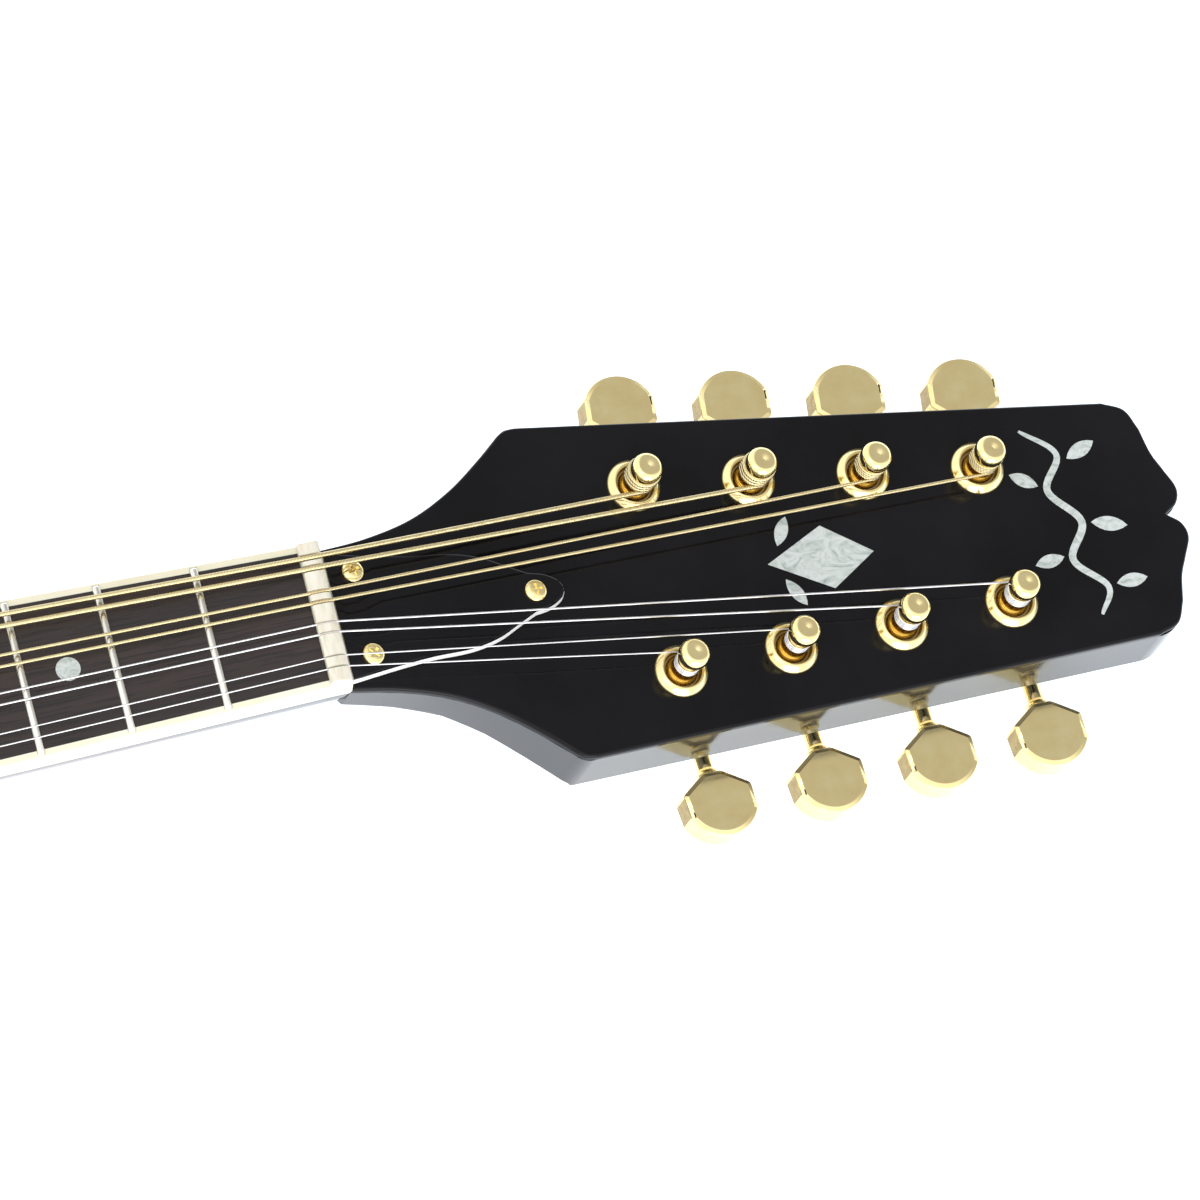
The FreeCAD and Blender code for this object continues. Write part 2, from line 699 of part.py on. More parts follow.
def string_wraps(number):
    """Three turns of the string round the waist of its post."""
    r = STRING_R[number - 1]
    out = []
    for i in range(WRAPS):
        centre = Vector(0, 0, 3.7 + r + i * (2 * r + 0.02))
        out.append(from_tuner(Part.makeTorus(WAIST_R + 0.02 + r, r, centre), number))
    return out


# ---- strings ------------------------------------------------------------------
def string_path(number):
    """Corners of one string from its hook to just short of its post, and its radius."""
    r = STRING_R[number - 1]
    side, index = tuner_slot(number)
    row = index
    hook = Vector(HOOK_X, side * TAIL_Y[row], HOOK_Z)
    plane = JOINT_Z + JOINT * SIN_N
    saddle = Vector(0, side * BRIDGE_Y[row], plane + STRING_LIFT + r)
    front = neck_point(0.0, side * NUT_Y[row], NUT_LIFT + r)
    rear = neck_point(NUT_T - 1.2, side * NUT_Y[row], NUT_LIFT + r)
    x, y = post_at(index)
    wrap_r = WAIST_R + 0.02 + r
    touch = head_point(x, side * (y - wrap_r), 3.7 + r)
    short = math.sqrt((wrap_r + 2 * r) ** 2 - wrap_r ** 2) + 0.6
    along = (touch - rear).normalize()
    return [hook, saddle, front, rear, touch - along * short], r


def swept(points, r):
    """Round wire along straight runs with a ball at each bend."""
    parts = [rod(r, a, b) for a, b in zip(points, points[1:])]
    parts += [Part.makeSphere(r, p) for p in points[1:-1]]
    return fused(parts)


def string(number, grow=0.0):
    points, r = string_path(number)
    return swept(points, r + grow)


def looped_string(number):
    """String with the loop that drops over its tailpiece hook."""
    points, r = string_path(number)
    eye = Part.makeTorus(1.5 + r, r, points[0] - Vector(1.5 + r, 0, 0))
    return swept(points, r).fuse(eye)


# ---- bridge -------------------------------------------------------------------
STUD_Y = 25.0
STUD_R = 2.0
STUD_L = 11.8
STUD_FOOT = 65.0
WHEEL_Z = 71.0
WHEEL_T = 1.9
SADDLE_Z = WHEEL_Z + WHEEL_T


def bridge_base():
    """Foot shaped to the dome, with a low waist between its two feet."""
    outline = [(-54, 0), (-54, 64.6), (-30, 69), (30, 69), (54, 64.6), (54, 0)]
    ring = [Vector(-5.5, y, z) for y, z in outline]
    foot = Part.Face(Part.makePolygon(ring + ring[:1])).extrude(Vector(11, 0, 0))
    foot = foot.cut(dome(0))
    for side in (1, -1):
        foot = foot.cut(Part.makeCylinder(STUD_R, 20, Vector(0, side * STUD_Y, STUD_FOOT)))
    return foot


def bridge_studs():
    return [Part.makeCylinder(STUD_R, STUD_L, Vector(0, s * STUD_Y, STUD_FOOT)) for s in (1, -1)]


def bridge_wheel(side):
    """Knurled thumbwheel on its stud."""
    teeth = 24
    points = []
    for i in range(2 * teeth):
        r = 5.6 if i % 2 else 5.25
        a = math.pi * i / teeth
        points.append((r * math.cos(a), r * math.sin(a)))
    wheel = prism(points, WHEEL_Z, WHEEL_Z + WHEEL_T)
    wheel = wheel.cut(Part.makeCylinder(STUD_R + FIT, 20, Vector(0, 0, 60)))
    wheel.translate(Vector(0, side * STUD_Y, 0))
    return wheel


def bridge_saddle():
    """Saddle that rides on the two wheels; its crest is slotted for the strings."""
    crest = JOINT_Z + JOINT * SIN_N + STRING_LIFT + 0.55
    side = [(-3.3, SADDLE_Z), (3.3, SADDLE_Z), (3.3, SADDLE_Z + 2.2), (1.2, crest), (-1.2, crest)]
    side += [(-3.3, SADDLE_Z + 2.2)]
    ring = [Vector(x, -34, z) for x, z in side]
    bar = Part.Face(Part.makePolygon(ring + ring[:1])).extrude(Vector(0, 68, 0))
    for s in (1, -1):
        bar = bar.cut(Part.makeCylinder(STUD_R + FIT, 6.5, Vector(0, s * STUD_Y, 72)))
    slots = [string(n, FIT) for n in range(1, 9)]
    for n in range(1, 9):
        points, r = string_path(n)
        low = points[1]
        half = r + 2 * FIT
        slots.append(box(-4, 4, low.y - half, low.y + half, low.z, crest + 1))
    return bar.cut(Part.makeCompound(slots))


# ---- tailpiece ----------------------------------------------------------------
TAIL_X = BOUT_X - BOUT_R
PIN_Z = 32.0
TAIL_SCREWS = ((0, 16), (9, 48), (-9, 48))


def tail_bores():
    """Holes for the end pin and the three tailpiece screws."""
    bores = [rod(3.0, Vector(TAIL_X - 10, 0, PIN_Z), Vector(TAIL_X + 17, 0, PIN_Z))]
    for y, z in TAIL_SCREWS:
        bores.append(rod(1.3, Vector(TAIL_X - 10, y, z), Vector(TAIL_X + 14, y, z)))
    return Part.makeCompound(bores)


def tailpiece():
    """Bent plate: one leg down the rim, one leg over the top with eight hooks."""
    top = box(TAIL_X - 1.4, -127, -22, 22, 61.3, 62.7)
    leg = box(TAIL_X - 1.4, TAIL_X, -14, 14, 9, 61.3)
    hooks = []
    for n in range(1, 9):
        points, r = string_path(n)
        foot = Vector(points[0].x - 1.5 - r, points[0].y, 62.7)
        hooks.append(Part.makeCylinder(1.2, 3.4, foot))
    return top.multiFuse([leg] + hooks).cut(tail_bores())


def tailpiece_cover():
    """Pressed cap that slides off toward the tail; strings leave by its open front."""
    shell = box(TAIL_X - 4, -124, -23.2, 23.2, 61.0, 70.4)
    long_edges = [e for e in shell.Edges if abs(e.tangentAt(0).x) > 0.9 and e.CenterOfMass.z > 70]
    shell = shell.makeFillet(3, long_edges)
    inside = box(TAIL_X - 2.8, -100, -22 - FIT, 22 + FIT, 60, 67.2)
    inner = box(TAIL_X - 2.8, -100, -20, 20, 67, 69.2)
    return shell.cut(inside).cut(inner)


def end_pin():
    shank = rod(3.0, Vector(TAIL_X - 1.4, 0, PIN_Z), Vector(TAIL_X + 17, 0, PIN_Z))
    outline = [(0, 0), (5, 0), (3.6, 2.5), (3.4, 6), (6.4, 9), (5.6, 11.4), (0, 12.4)]
    ring = [Vector(TAIL_X - 1.4 - x, 0, PIN_Z + r) for r, x in outline]
    head = Part.Face(Part.makePolygon(ring + ring[:1])).revolve(Vector(0, 0, PIN_Z), Vector(1, 0, 0), 360)
    return shank.fuse(head)


def tailpiece_screws():
    out = []
    for y, z in TAIL_SCREWS:
        part = screw(2.6, 1.3, 1.3, 15)
        part.rotate(ORIGIN, Vector(0, 1, 0), -90)
        part.translate(Vector(TAIL_X - 1.4, y, z))
        out.append(part)
    return out


# ---- build --------------------------------------------------------------------
def build_body():
    rings = rosette()
    bores = tail_bores()
    neck_block = block(JOINT_X - 32, JOINT_X, 30)
    tail_block = block(TAIL_X, TAIL_X + 24, 32).cut(bores)
    save("rosette", rings)
    save("top_plate", top_plate(rings))
    save("back_plate", body_prism(BINDING, 0, PLATE))
    save("body_sides", body_sides(bores))
    save("body_bindings", body_bindings())
    save("end_blocks", [neck_block, tail_block])
    save("linings", linings(Part.makeCompound([neck_block, tail_block, bores])))
    save("braces", braces())
    save("end_pin", end_pin())
    save("tailpiece", tailpiece())
    save("tailpiece_screws", tailpiece_screws())
    save("tailpiece_cover", tailpiece_cover())


def build_neck():
    pearl = headstock_inlays()
    wires = [string(n) for n in range(1, 9)]
    wire = frets()
    dots = position_dots()
    save("neck", neck())
    save("heel_cap", heel_cap())
    save("headstock_veneer", headstock_veneer(pearl))
    save("headstock_inlays", pearl)
    save("truss_rod", truss_rod())
    save("truss_rod_nut", truss_rod_nut())
    save("truss_rod_cover", truss_rod_cover())
    save("truss_cover_screws", truss_cover_screws())
    save("fingerboard", fingerboard(wire + dots))
    save("fingerboard_binding", fingerboard_binding())
    save("frets", wire)
    save("position_dots", dots)
    save("nut", nut(wires))
    save("wound_strings", [looped_string(n) for n in range(1, 5)])
    save("plain_strings", [looped_string(n) for n in range(5, 9)])


def build_bridge():
    save("bridge_base", bridge_base())
    save("bridge_studs", bridge_studs())
    save("bridge_saddle", bridge_saddle())
    save("bridge_wheel_bass", bridge_wheel(1))
    save("bridge_wheel_treble", bridge_wheel(-1))


def build_tuners():
    post = tuner_post()
    shaft = worm_shaft()
    grip = button()
    bushing = tuner_bushing()
    save("tuner_bushings", [from_tuner(bushing, n) for n in range(1, 9)])
    save("tuner_plate_bass", tuner_plate(1))
    save("tuner_plate_treble", tuner_plate(8))
    save("tuner_mount_screws", tuner_mount_screws())
    for n in range(1, 9):
        save("tuner_%d_post" % n, [from_tuner(s, n) for s in post])
        save("tuner_%d_wraps" % n, string_wraps(n))
        save("tuner_%d_button" % n, [from_tuner(shaft, n), from_tuner(grip, n)])


build_body()
build_neck()
build_bridge()
build_tuners()
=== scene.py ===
# %% [markdown]
# # A teardrop mandolin for a close look at its headstock
# The mandolin comes in as a finished mechanical frame: every part has its true size and place.
# This lesson gives it its looks. Parts whose shape is already right keep it and get a finish.
# Parts that need finer shapes, such as turned posts or coiled string, are built again here
# in the same place, and ride on the same moving body.

# %% Load the frame
import bpy
import json
import math
from mathutils import Matrix, Vector


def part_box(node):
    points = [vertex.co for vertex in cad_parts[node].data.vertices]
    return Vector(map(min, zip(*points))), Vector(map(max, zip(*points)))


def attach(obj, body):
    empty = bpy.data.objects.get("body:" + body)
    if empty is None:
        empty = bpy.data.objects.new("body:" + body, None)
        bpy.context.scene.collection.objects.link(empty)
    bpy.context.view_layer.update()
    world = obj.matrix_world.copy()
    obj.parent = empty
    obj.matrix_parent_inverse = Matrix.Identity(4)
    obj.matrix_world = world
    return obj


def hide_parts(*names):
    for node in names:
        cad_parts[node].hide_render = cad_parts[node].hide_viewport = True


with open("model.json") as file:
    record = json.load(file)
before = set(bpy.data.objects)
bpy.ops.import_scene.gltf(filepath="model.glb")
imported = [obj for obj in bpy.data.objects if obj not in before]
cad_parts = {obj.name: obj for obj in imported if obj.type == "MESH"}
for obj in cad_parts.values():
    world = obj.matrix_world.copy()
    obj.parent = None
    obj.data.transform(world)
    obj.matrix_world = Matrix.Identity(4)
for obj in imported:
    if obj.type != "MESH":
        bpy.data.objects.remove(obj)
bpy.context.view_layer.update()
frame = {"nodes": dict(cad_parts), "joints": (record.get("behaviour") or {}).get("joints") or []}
joints = {j["name"]: j for j in frame["joints"]}
nodes = frame["nodes"]

# %% [markdown]
# ## Workbench frames
# A maker measures a headstock from the nut and from its own face, not from the floor. So each
# group of parts gets a small frame of its own, in millimetres. The frames are read back from
# the joints: a string post's axis is square to the headstock face, and a button's axis is
# square to the headstock's edge.

# %% Frames for the neck, the headstock and each tuner
MM = 0.001
SCALE_LENGTH = 352.4
NECK_TILT = math.radians(1.2)
JOINT_HEIGHT = 71.0
FIRST_POST = 65.1
NUT_WIDTH = 4.3


def workbench(origin, x_axis, y_axis, z_axis):
    """Millimetre frame with that origin and those axes, as a matrix to metres."""
    turn = Matrix((x_axis, y_axis, z_axis)).transposed().to_4x4()
    return Matrix.Translation(origin) @ turn @ Matrix.Scale(MM, 4)


def joint_line(name):
    return Vector(joints[name]["pos_m"]), Vector(joints[name]["axis"]).normalized()


post_spot, face_up = joint_line("post_1_turn")
far_spot, _ = joint_line("post_8_turn")
side_way = Vector((0, 1, 0))
tip_way = side_way.cross(face_up).normalized()
head_origin = (post_spot + far_spot) / 2 - tip_way * FIRST_POST * MM
HEAD = workbench(head_origin, tip_way, side_way, face_up)

board_up = Vector((math.sin(NECK_TILT), 0, math.cos(NECK_TILT)))
board_way = Vector((math.cos(NECK_TILT), 0, -math.sin(NECK_TILT)))
nut_height = JOINT_HEIGHT - SCALE_LENGTH / 2 * math.sin(NECK_TILT)
nut_origin = Vector((SCALE_LENGTH * math.cos(NECK_TILT), 0, nut_height)) * MM
NECK = workbench(nut_origin, board_way, side_way, board_up)
BODY = Matrix.Scale(MM, 4)
METRES = Matrix.Identity(4)


def tuner_frame(number):
    """x along the row of tuners, y out of the headstock's edge, z out of its face."""
    spot, up = joint_line(f"post_{number}_turn")
    shaft_spot, out = joint_line(f"button_{number}_turn")
    along = out.cross(up)
    if along.dot(shaft_spot - spot) < 0:
        along = -along
    return workbench(spot, along, out, up)


TUNERS = {number: tuner_frame(number) for number in range(1, 9)}
print("headstock origin", [round(v, 4) for v in head_origin])

# %% [markdown]
# ## Three ways to make metal and wood
# Nearly every part here is made one of three ways. A lathe turns a profile round an axis.
# A band saw cuts an outline from a board, and a router eases its edge. A wire is drawn along
# a path. Each helper below builds its mesh point by point, so the shape is exact.

# %% Put a mesh on the bench
def on_bench(name, shape, bench):
    """An object from (points, faces), laid in a workbench frame."""
    points, faces = shape
    if bench.determinant() < 0:
        faces = [face[::-1] for face in faces]
    mesh = bpy.data.meshes.new(name)
    mesh.from_pydata([bench @ Vector(p) for p in points], [], faces)
    mesh.update()
    obj = bpy.data.objects.new(name, mesh)
    bpy.context.scene.collection.objects.link(obj)
    return obj


def add_piece(name, shape, bench, finishes, body="mandolin", stands_for=()):
    """One piece of the mandolin: its mesh, its finishes and the body that carries it."""
    obj = on_bench(name, shape, bench)
    for finish in finishes:
        obj.data.materials.append(finish.material)
    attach(obj, body)
    if stands_for:
        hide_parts(*stands_for)
    return obj


def smooth(obj, sharp_degrees=35):
    """Smooth shading, broken where two faces meet at more than that angle."""
    obj.data.polygons.foreach_set("use_smooth", [True] * len(obj.data.polygons))
    obj.data.set_sharp_from_angle(angle=math.radians(sharp_degrees))
    return obj


def ease_edges(obj, width, segments=2, angle=40):
    """A small round on every edge sharper than that angle, as sandpaper leaves."""
    ease = obj.modifiers.new("eased_edges", "BEVEL")
    ease.width = width * MM
    ease.segments = segments
    ease.limit_method = "ANGLE"
    ease.angle_limit = math.radians(angle)
    ease.harden_normals = True
    return obj


print("bench ready: a mesh gets its body, its finish and the CAD nodes that it stands for")

# %% [markdown]
# ### The lathe
# Bushings, posts, screws and knobs are turned. A Screw modifier could sweep the profile, but
# listing the rings ourselves keeps the poles clean: a point on the axis becomes one vertex
# instead of a ring of doubles, so the mesh has no faces without area.

# %% The lathe
def turned(profile, steps=64):
    """Points and faces of a profile of (radius, height) turned round the z axis."""
    points, faces, rows = [], [], []
    for radius, height in profile:
        if radius < 1e-6:
            rows.append([len(points)])
            points.append((0, 0, height))
        else:
            rows.append(list(range(len(points), len(points) + steps)))
            for i in range(steps):
                a = 2 * math.pi * i / steps
                points.append((radius * math.cos(a), radius * math.sin(a), height))
    for low, high in zip(rows, rows[1:]):
        for i in range(steps):
            k = (i + 1) % steps
            ring = [low[i % len(low)], low[k % len(low)], high[k % len(high)], high[i % len(high)]]
            face = tuple(dict.fromkeys(ring))
            if len(face) > 2:
                faces.append(face)
    return points, faces


print("a turned disc:", [len(part) for part in turned([(0, 0), (1, 0), (1, 1), (0, 1)], 8)], "points, faces")

# %% [markdown]
# ### The band saw and the router
# Flat parts start as an outline. A curve object with a bevel could thicken it, but a list of
# levels does more: each level is a height and how far the outline has moved in, so a bevel,
# a quarter round or a sloped side is only another row of numbers.

# %% The band saw and the router
def arc_points(centre, radius, start, end, steps):
    """Points on an arc between two angles in degrees."""
    out = []
    for i in range(steps + 1):
        a = math.radians(start + (end - start) * i / steps)
        out.append((centre[0] + radius * math.cos(a), centre[1] + radius * math.sin(a)))
    return out


def flowing(knots, steps=8):
    """A smooth curve through the knots, as many straight pieces (Catmull-Rom)."""
    ends = [[2 * knots[0][i] - knots[1][i] for i in range(len(knots[0]))]]
    ends.append([2 * knots[-1][i] - knots[-2][i] for i in range(len(knots[0]))])
    p = [ends[0], *knots, ends[1]]
    out = []
    for a, b, c, d in zip(p, p[1:], p[2:], p[3:]):
        for i in range(steps):
            t = i / steps
            out.append(tuple(
                0.5 * (2 * b[n] + (c[n] - a[n]) * t + (2 * a[n] - 5 * b[n] + 4 * c[n] - d[n]) * t * t
                       + (3 * b[n] - a[n] - 3 * c[n] + d[n]) * t ** 3) for n in range(len(b))))
    out.append(tuple(knots[-1]))
    return out


def anticlockwise(ring):
    """The same closed outline, turned round if it runs clockwise."""
    area = sum(a[0] * b[1] - b[0] * a[1] for a, b in zip(ring, ring[1:] + ring[:1])) / 2
    return ring if area > 0 else ring[::-1]


def both_halves(half):
    """Closed outline, counter-clockwise, from the half with y above the centre line."""
    return anticlockwise(half + [(x, -y) for x, y in reversed(half) if abs(y) > 1e-6])


def inset(outline, amount):
    """The outline moved in by that amount, each corner along its own bisector."""
    out = []
    count = len(outline)
    for i, here in enumerate(outline):
        before, after = Vector(outline[i - 1]), Vector(outline[(i + 1) % count])
        here = Vector(here)
        one, two = (here - before).normalized(), (after - here).normalized()
        n1, n2 = Vector((-one.y, one.x)), Vector((-two.y, two.x))
        middle = (n1 + n2).normalized()
        out.append(tuple(here + middle * amount / max(middle.dot(n1), 0.5)))
    return out


def skin(rows, size):
    """Faces over a stack of rings with that many points each, closed at both ends."""
    faces = []
    for start in range(0, (rows - 1) * size, size):
        for i in range(size):
            k = (i + 1) % size
            faces.append((start + i, start + k, start + size + k, start + size + i))
    faces.append(tuple(reversed(range(size))))
    faces.append(tuple(range((rows - 1) * size, rows * size)))
    return faces


def sawn(outline, levels):
    """Stack of outlines at (height, inset) levels, closed at the bottom and the top."""
    points = []
    for height, amount in levels:
        points += [(x, y, height) for x, y in (inset(outline, amount) if amount else outline)]
    return points, skin(len(levels), len(outline))


def round_over(bottom, top, radius, steps=5):
    """Levels for sawn() with a quarter round at the top edge."""
    out = [(bottom, 0)]
    for i in range(steps + 1):
        a = math.pi / 2 * i / steps
        out.append((top - radius + radius * math.sin(a), radius - radius * math.cos(a)))
    return out


print("a 1 mm quarter round has", len(round_over(0, 5, 1)), "levels")

# %% [markdown]
# ### Drawn wire
# Strings, coils and gear teeth follow a path. A bevelled curve would do for a straight string,
# but it can twist where the path turns back over itself. Here the cross section's own frame
# is carried from point to point, so a tight coil stays even.

# %% Drawn wire
def drawn(path, radius, sides=12):
    """Round wire along a path, kept from twisting by carrying its frame along."""
    path = [Vector(p) for p in path]
    points = []
    way = (path[1] - path[0]).normalized()
    side = way.orthogonal().normalized()
    for i, here in enumerate(path):
        ahead = path[min(i + 1, len(path) - 1)] - path[max(i - 1, 0)]
        new_way = ahead.normalized()
        side = (way.rotation_difference(new_way) @ side)
        side = (side - new_way * side.dot(new_way)).normalized()
        way = new_way
        other = way.cross(side)
        r = radius(i / (len(path) - 1)) if callable(radius) else radius
        for k in range(sides):
            a = 2 * math.pi * k / sides
            points.append(tuple(here + (side * math.cos(a) + other * math.sin(a)) * r))
    return points, skin(len(path), sides)


def together(*meshes):
    """Several (points, faces) pairs as one."""
    points, faces = [], []
    for more_points, more_faces in meshes:
        start = len(points)
        points += list(more_points)
        faces += [tuple(i + start for i in face) for face in more_faces]
    return points, faces


def moved(shape, matrix):
    points, faces = shape
    return [tuple(matrix @ Vector(p)) for p in points], faces


def flipped(shape):
    """The same shape with every face turned over."""
    points, faces = shape
    return points, [face[::-1] for face in faces]


print("bench tools ready")

# %% [markdown]
# ## Finishes
# A finish is a Principled shader plus a few textures that break up its evenness: grain in
# the wood, fine scratches in the plating, a faint ripple in the lacquer. The two small
# classes below keep the node wiring short. Values that are the same all over a part are set
# straight on the shader's sockets.

# %% A short way to wire shader nodes
class Wiring:
    """A node tree that is filled from empty, one short call for each node."""

    def __init__(self, tree):
        self.tree = tree
        self.tree.nodes.clear()

    def feed(self, socket, source):
        """Links another node's output to a socket, or sets the socket to a plain value."""
        if isinstance(source, bpy.types.NodeSocket):
            self.tree.links.new(source, socket)
        else:
            socket.default_value = source

    def node(self, kind, feeds=(), **settings):
        """A new node, its settings, and what goes into each of its sockets."""
        made = self.tree.nodes.new(kind)
        for key, value in settings.items():
            setattr(made, key, value)
        for key, source in dict(feeds).items():
            self.feed(made.inputs[key], source)
        return made

    def span(self, value, low, high, to_low, to_high, **settings):
        """Moves the range from low to high onto the range from to_low to to_high."""
        feeds = {"Value": value, "From Min": low, "From Max": high, "To Min": to_low, "To Max": to_high}
        return self.node("ShaderNodeMapRange", feeds, **settings).outputs["Result"]


class Finish(Wiring):
    """One material: a Principled shader and the patterns that drive it."""

    def __init__(self, name, **values):
        self.material = bpy.data.materials.new(name)
        self.material.use_nodes = True
        super().__init__(self.material.node_tree)
        feeds = {socket.replace("_", " "): value for socket, value in values.items()}
        self.shader = self.node("ShaderNodeBsdfPrincipled", feeds)
        self.node("ShaderNodeOutputMaterial", {"Surface": self.shader.outputs["BSDF"]})

    def place(self, stretch=(1, 1, 1), turn=(0, 0, 0)):
        """Object coordinates in metres, stretched and turned."""
        where = self.node("ShaderNodeTexCoord").outputs["Object"]
        feeds = {"Scale": stretch, "Rotation": turn, "Vector": where}
        return self.node("ShaderNodeMapping", feeds).outputs["Vector"]

    def noise(self, scale, detail=4, rough=0.55, distortion=0.0, **placed):
        """Noise in object coordinates; stretch and turn go on to place()."""
        feeds = {"Scale": scale, "Detail": detail, "Roughness": rough, "Distortion": distortion}
        return self.node("ShaderNodeTexNoise", {**feeds, "Vector": self.place(**placed)}).outputs["Fac"]

    def ramp(self, value, stops):
        """Colours from stops of (position, colour)."""
        made = self.node("ShaderNodeValToRGB", {"Fac": value})
        elements = made.color_ramp.elements
        while len(elements) < len(stops):
            elements.new(0.5)
        for element, (position, color) in zip(elements, stops):
            element.position = position
            element.color = (*color, 1)
        return made.outputs["Color"]

    def mix(self, factor, one, two, blend="MIX"):
        made = self.node("ShaderNodeMix", data_type="RGBA", blend_type=blend)
        for key, source in (("Factor", factor), ("A", one), ("B", two)):
            socket = [s for s in made.inputs if s.name == key and s.enabled][0]
            self.feed(socket, (*source, 1) if isinstance(source, tuple) else source)
        return [s for s in made.outputs if s.enabled][0]

    def math(self, operation, one, two=0.0):
        return self.node("ShaderNodeMath", {0: one, 1: two}, operation=operation).outputs["Value"]

    def pattern(self, value, stops, gloss=None, depth=None, strength=1.0, reach=(0.3, 0.7)):
        """Lets one pattern drive the colour and, if asked, the roughness and the bump."""
        self.color(self.ramp(value, stops))
        if gloss:
            self.rough(value, gloss, reach)
        if depth:
            self.bump(value, depth, strength)

    def color(self, source):
        self.feed(self.shader.inputs["Base Color"], source)

    def rough(self, value, gloss, reach=(0.3, 0.7)):
        """Lets a pattern drive the roughness from one end of gloss to the other."""
        self.feed(self.shader.inputs["Roughness"], self.span(value, *reach, *gloss))

    def bump(self, height, distance, strength=1.0):
        feeds = {"Strength": strength, "Distance": distance, "Height": height}
        self.feed(self.shader.inputs["Normal"], self.node("ShaderNodeBump", feeds).outputs["Normal"])


def tones(*colors):
    """Colour stops spread evenly over the middle of a noise, where most of its values lie."""
    return [(0.3 + 0.4 * i / (len(colors) - 1), color) for i, color in enumerate(colors)]


def give(finish, *names):
    """Puts a finish on CAD nodes that keep their own shape."""
    for name in names:
        mesh = nodes[name].data
        mesh.materials.clear()
        mesh.materials.append(finish.material)


print("a finish has", len([name for name in dir(Finish) if not name.startswith("_")]), "helpers")

# %% [markdown]
# ### Gold plate
# Tuner hardware is brass, polished and plated with a thin layer of gold. Plating is bright
# but never perfect: faint polishing lines and handling marks spread the highlights. A noise
# stretched in one direction makes the lines, and a broad noise varies the gloss.

# %% Buffed gold
gold = Finish("gold_plate", Metallic=1.0)
spots = gold.noise(260, 5)
lines = gold.noise(1.0, 3, stretch=(900, 900, 4000))
warm = [(0.25, (0.88, 0.70, 0.33)), (0.6, (0.93, 0.78, 0.40)), (0.85, (0.96, 0.83, 0.47))]
gold.pattern(spots, warm, (0.08, 0.17))
gold.bump(lines, 0.000004)
print("gold ready")

# %% [markdown]
# The straight sides of a button and the hollow mouth of a bushing get a rougher gold, and a
# darker colour that is painted shade: the shade in the mouth's recess, and the shade under the
# headstock that the sides mirror.

# %% Gold with painted shade
# Rougher than the buffed gold; its darker colour is painted shade.
gold_painted_shade = Finish("gold_painted_shade", Metallic=1.0)
pits = gold_painted_shade.noise(700, 4)
gold_painted_shade.pattern(pits, tones((0.30, 0.20, 0.07), (0.46, 0.34, 0.14)), (0.2, 0.34), 0.00001, 0.5)
print("gold with painted shade ready")

# %% [markdown]
# ### Black lacquer
# The face of the headstock is sprayed black and buffed. Its colour is almost nothing; what is
# seen is what it reflects. A very shallow ripple, called orange peel, keeps it from looking
# like glass, and a little haze shows where a cloth has been.

# %% Black lacquer
lacquer = Finish("black_lacquer", IOR=1.27)
haze = lacquer.noise(35, 5, 0.6)
peel = lacquer.noise(420, 2)
near_black = [(0.35, (0.0035, 0.0034, 0.0042)), (0.7, (0.0075, 0.007, 0.0085))]
lacquer.pattern(haze, near_black, (0.06, 0.14), reach=(0.35, 0.75))
lacquer.bump(peel, 0.00002, 0.25)
print("lacquer ready")

# %% [markdown]
# ### Cream binding, bone and pearl
# Binding is a celluloid strip, cream and slightly see-through, so light sinks in a little
# before it comes back: that is subsurface scattering. The nut is bone, which is paler and
# has short fine streaks. Pearl is shell in thin layers, so its noise is strongly distorted.

# %% Cream binding, bone and pearl
cream = Finish("cream_binding", Roughness=0.28, Subsurface_Weight=0.15, Subsurface_Scale=0.002)
cloud = cream.noise(60, 4)
cream.pattern(cloud, tones((0.78, 0.73, 0.54), (0.86, 0.82, 0.66)))
cream.bump(cream.noise(1500, 2), 0.00001, 0.3)

bone = Finish("bone", Roughness=0.32, Subsurface_Weight=0.2, Subsurface_Scale=0.0015)
streak = bone.noise(3.0, 5, stretch=(300, 60, 300))
pale = [(0.3, (0.60, 0.56, 0.44)), (0.55, (0.72, 0.69, 0.58)), (0.8, (0.78, 0.76, 0.66))]
bone.pattern(streak, pale, None, 0.00003, 0.3)

pearl = Finish("pearl", Roughness=0.16, Coat_Weight=0.6, Coat_Roughness=0.05)
layers = pearl.noise(230, 5, 0.6, 2.2, stretch=(1, 1.6, 1), turn=(0, 0, 0.6))
shell = [(0.3, (0.28, 0.34, 0.33)), (0.45, (0.48, 0.53, 0.50)), (0.6, (0.60, 0.64, 0.63)),
         (0.75, (0.42, 0.49, 0.52))]
pearl.pattern(layers, shell, None, 0.00002, 0.3)
print("binding, bone and pearl ready")

# %% [markdown]
# ### Dark woods
# Rosewood and ebony both have pores: short dark dashes that run with the grain. The grain runs
# along the neck, so the noise is squeezed across it and stretched along it. Pores are also a
# little deeper than the surface, so the same pattern drives the bump.

# %% Rosewood and ebony
def dark_wood(name, shades, gloss, stretch=(9, 260, 260)):
    """Fine grain with darker pores, both stretched the same way."""
    wood = Finish(name)
    grain = wood.noise(1.0, 6, 0.6, 0.4, stretch=stretch)
    pores = wood.noise(1.0, 2, stretch=(stretch[0] * 9, stretch[1] * 8, stretch[2] * 8))
    tone = wood.ramp(grain, tones(*shades))
    dark = wood.span(pores, 0.52, 0.62, 1.0, 0.35)
    wood.color(wood.mix(1.0, tone, dark, "MULTIPLY"))
    wood.rough(grain, gloss)
    wood.bump(dark, 0.00005, 0.5)
    return wood


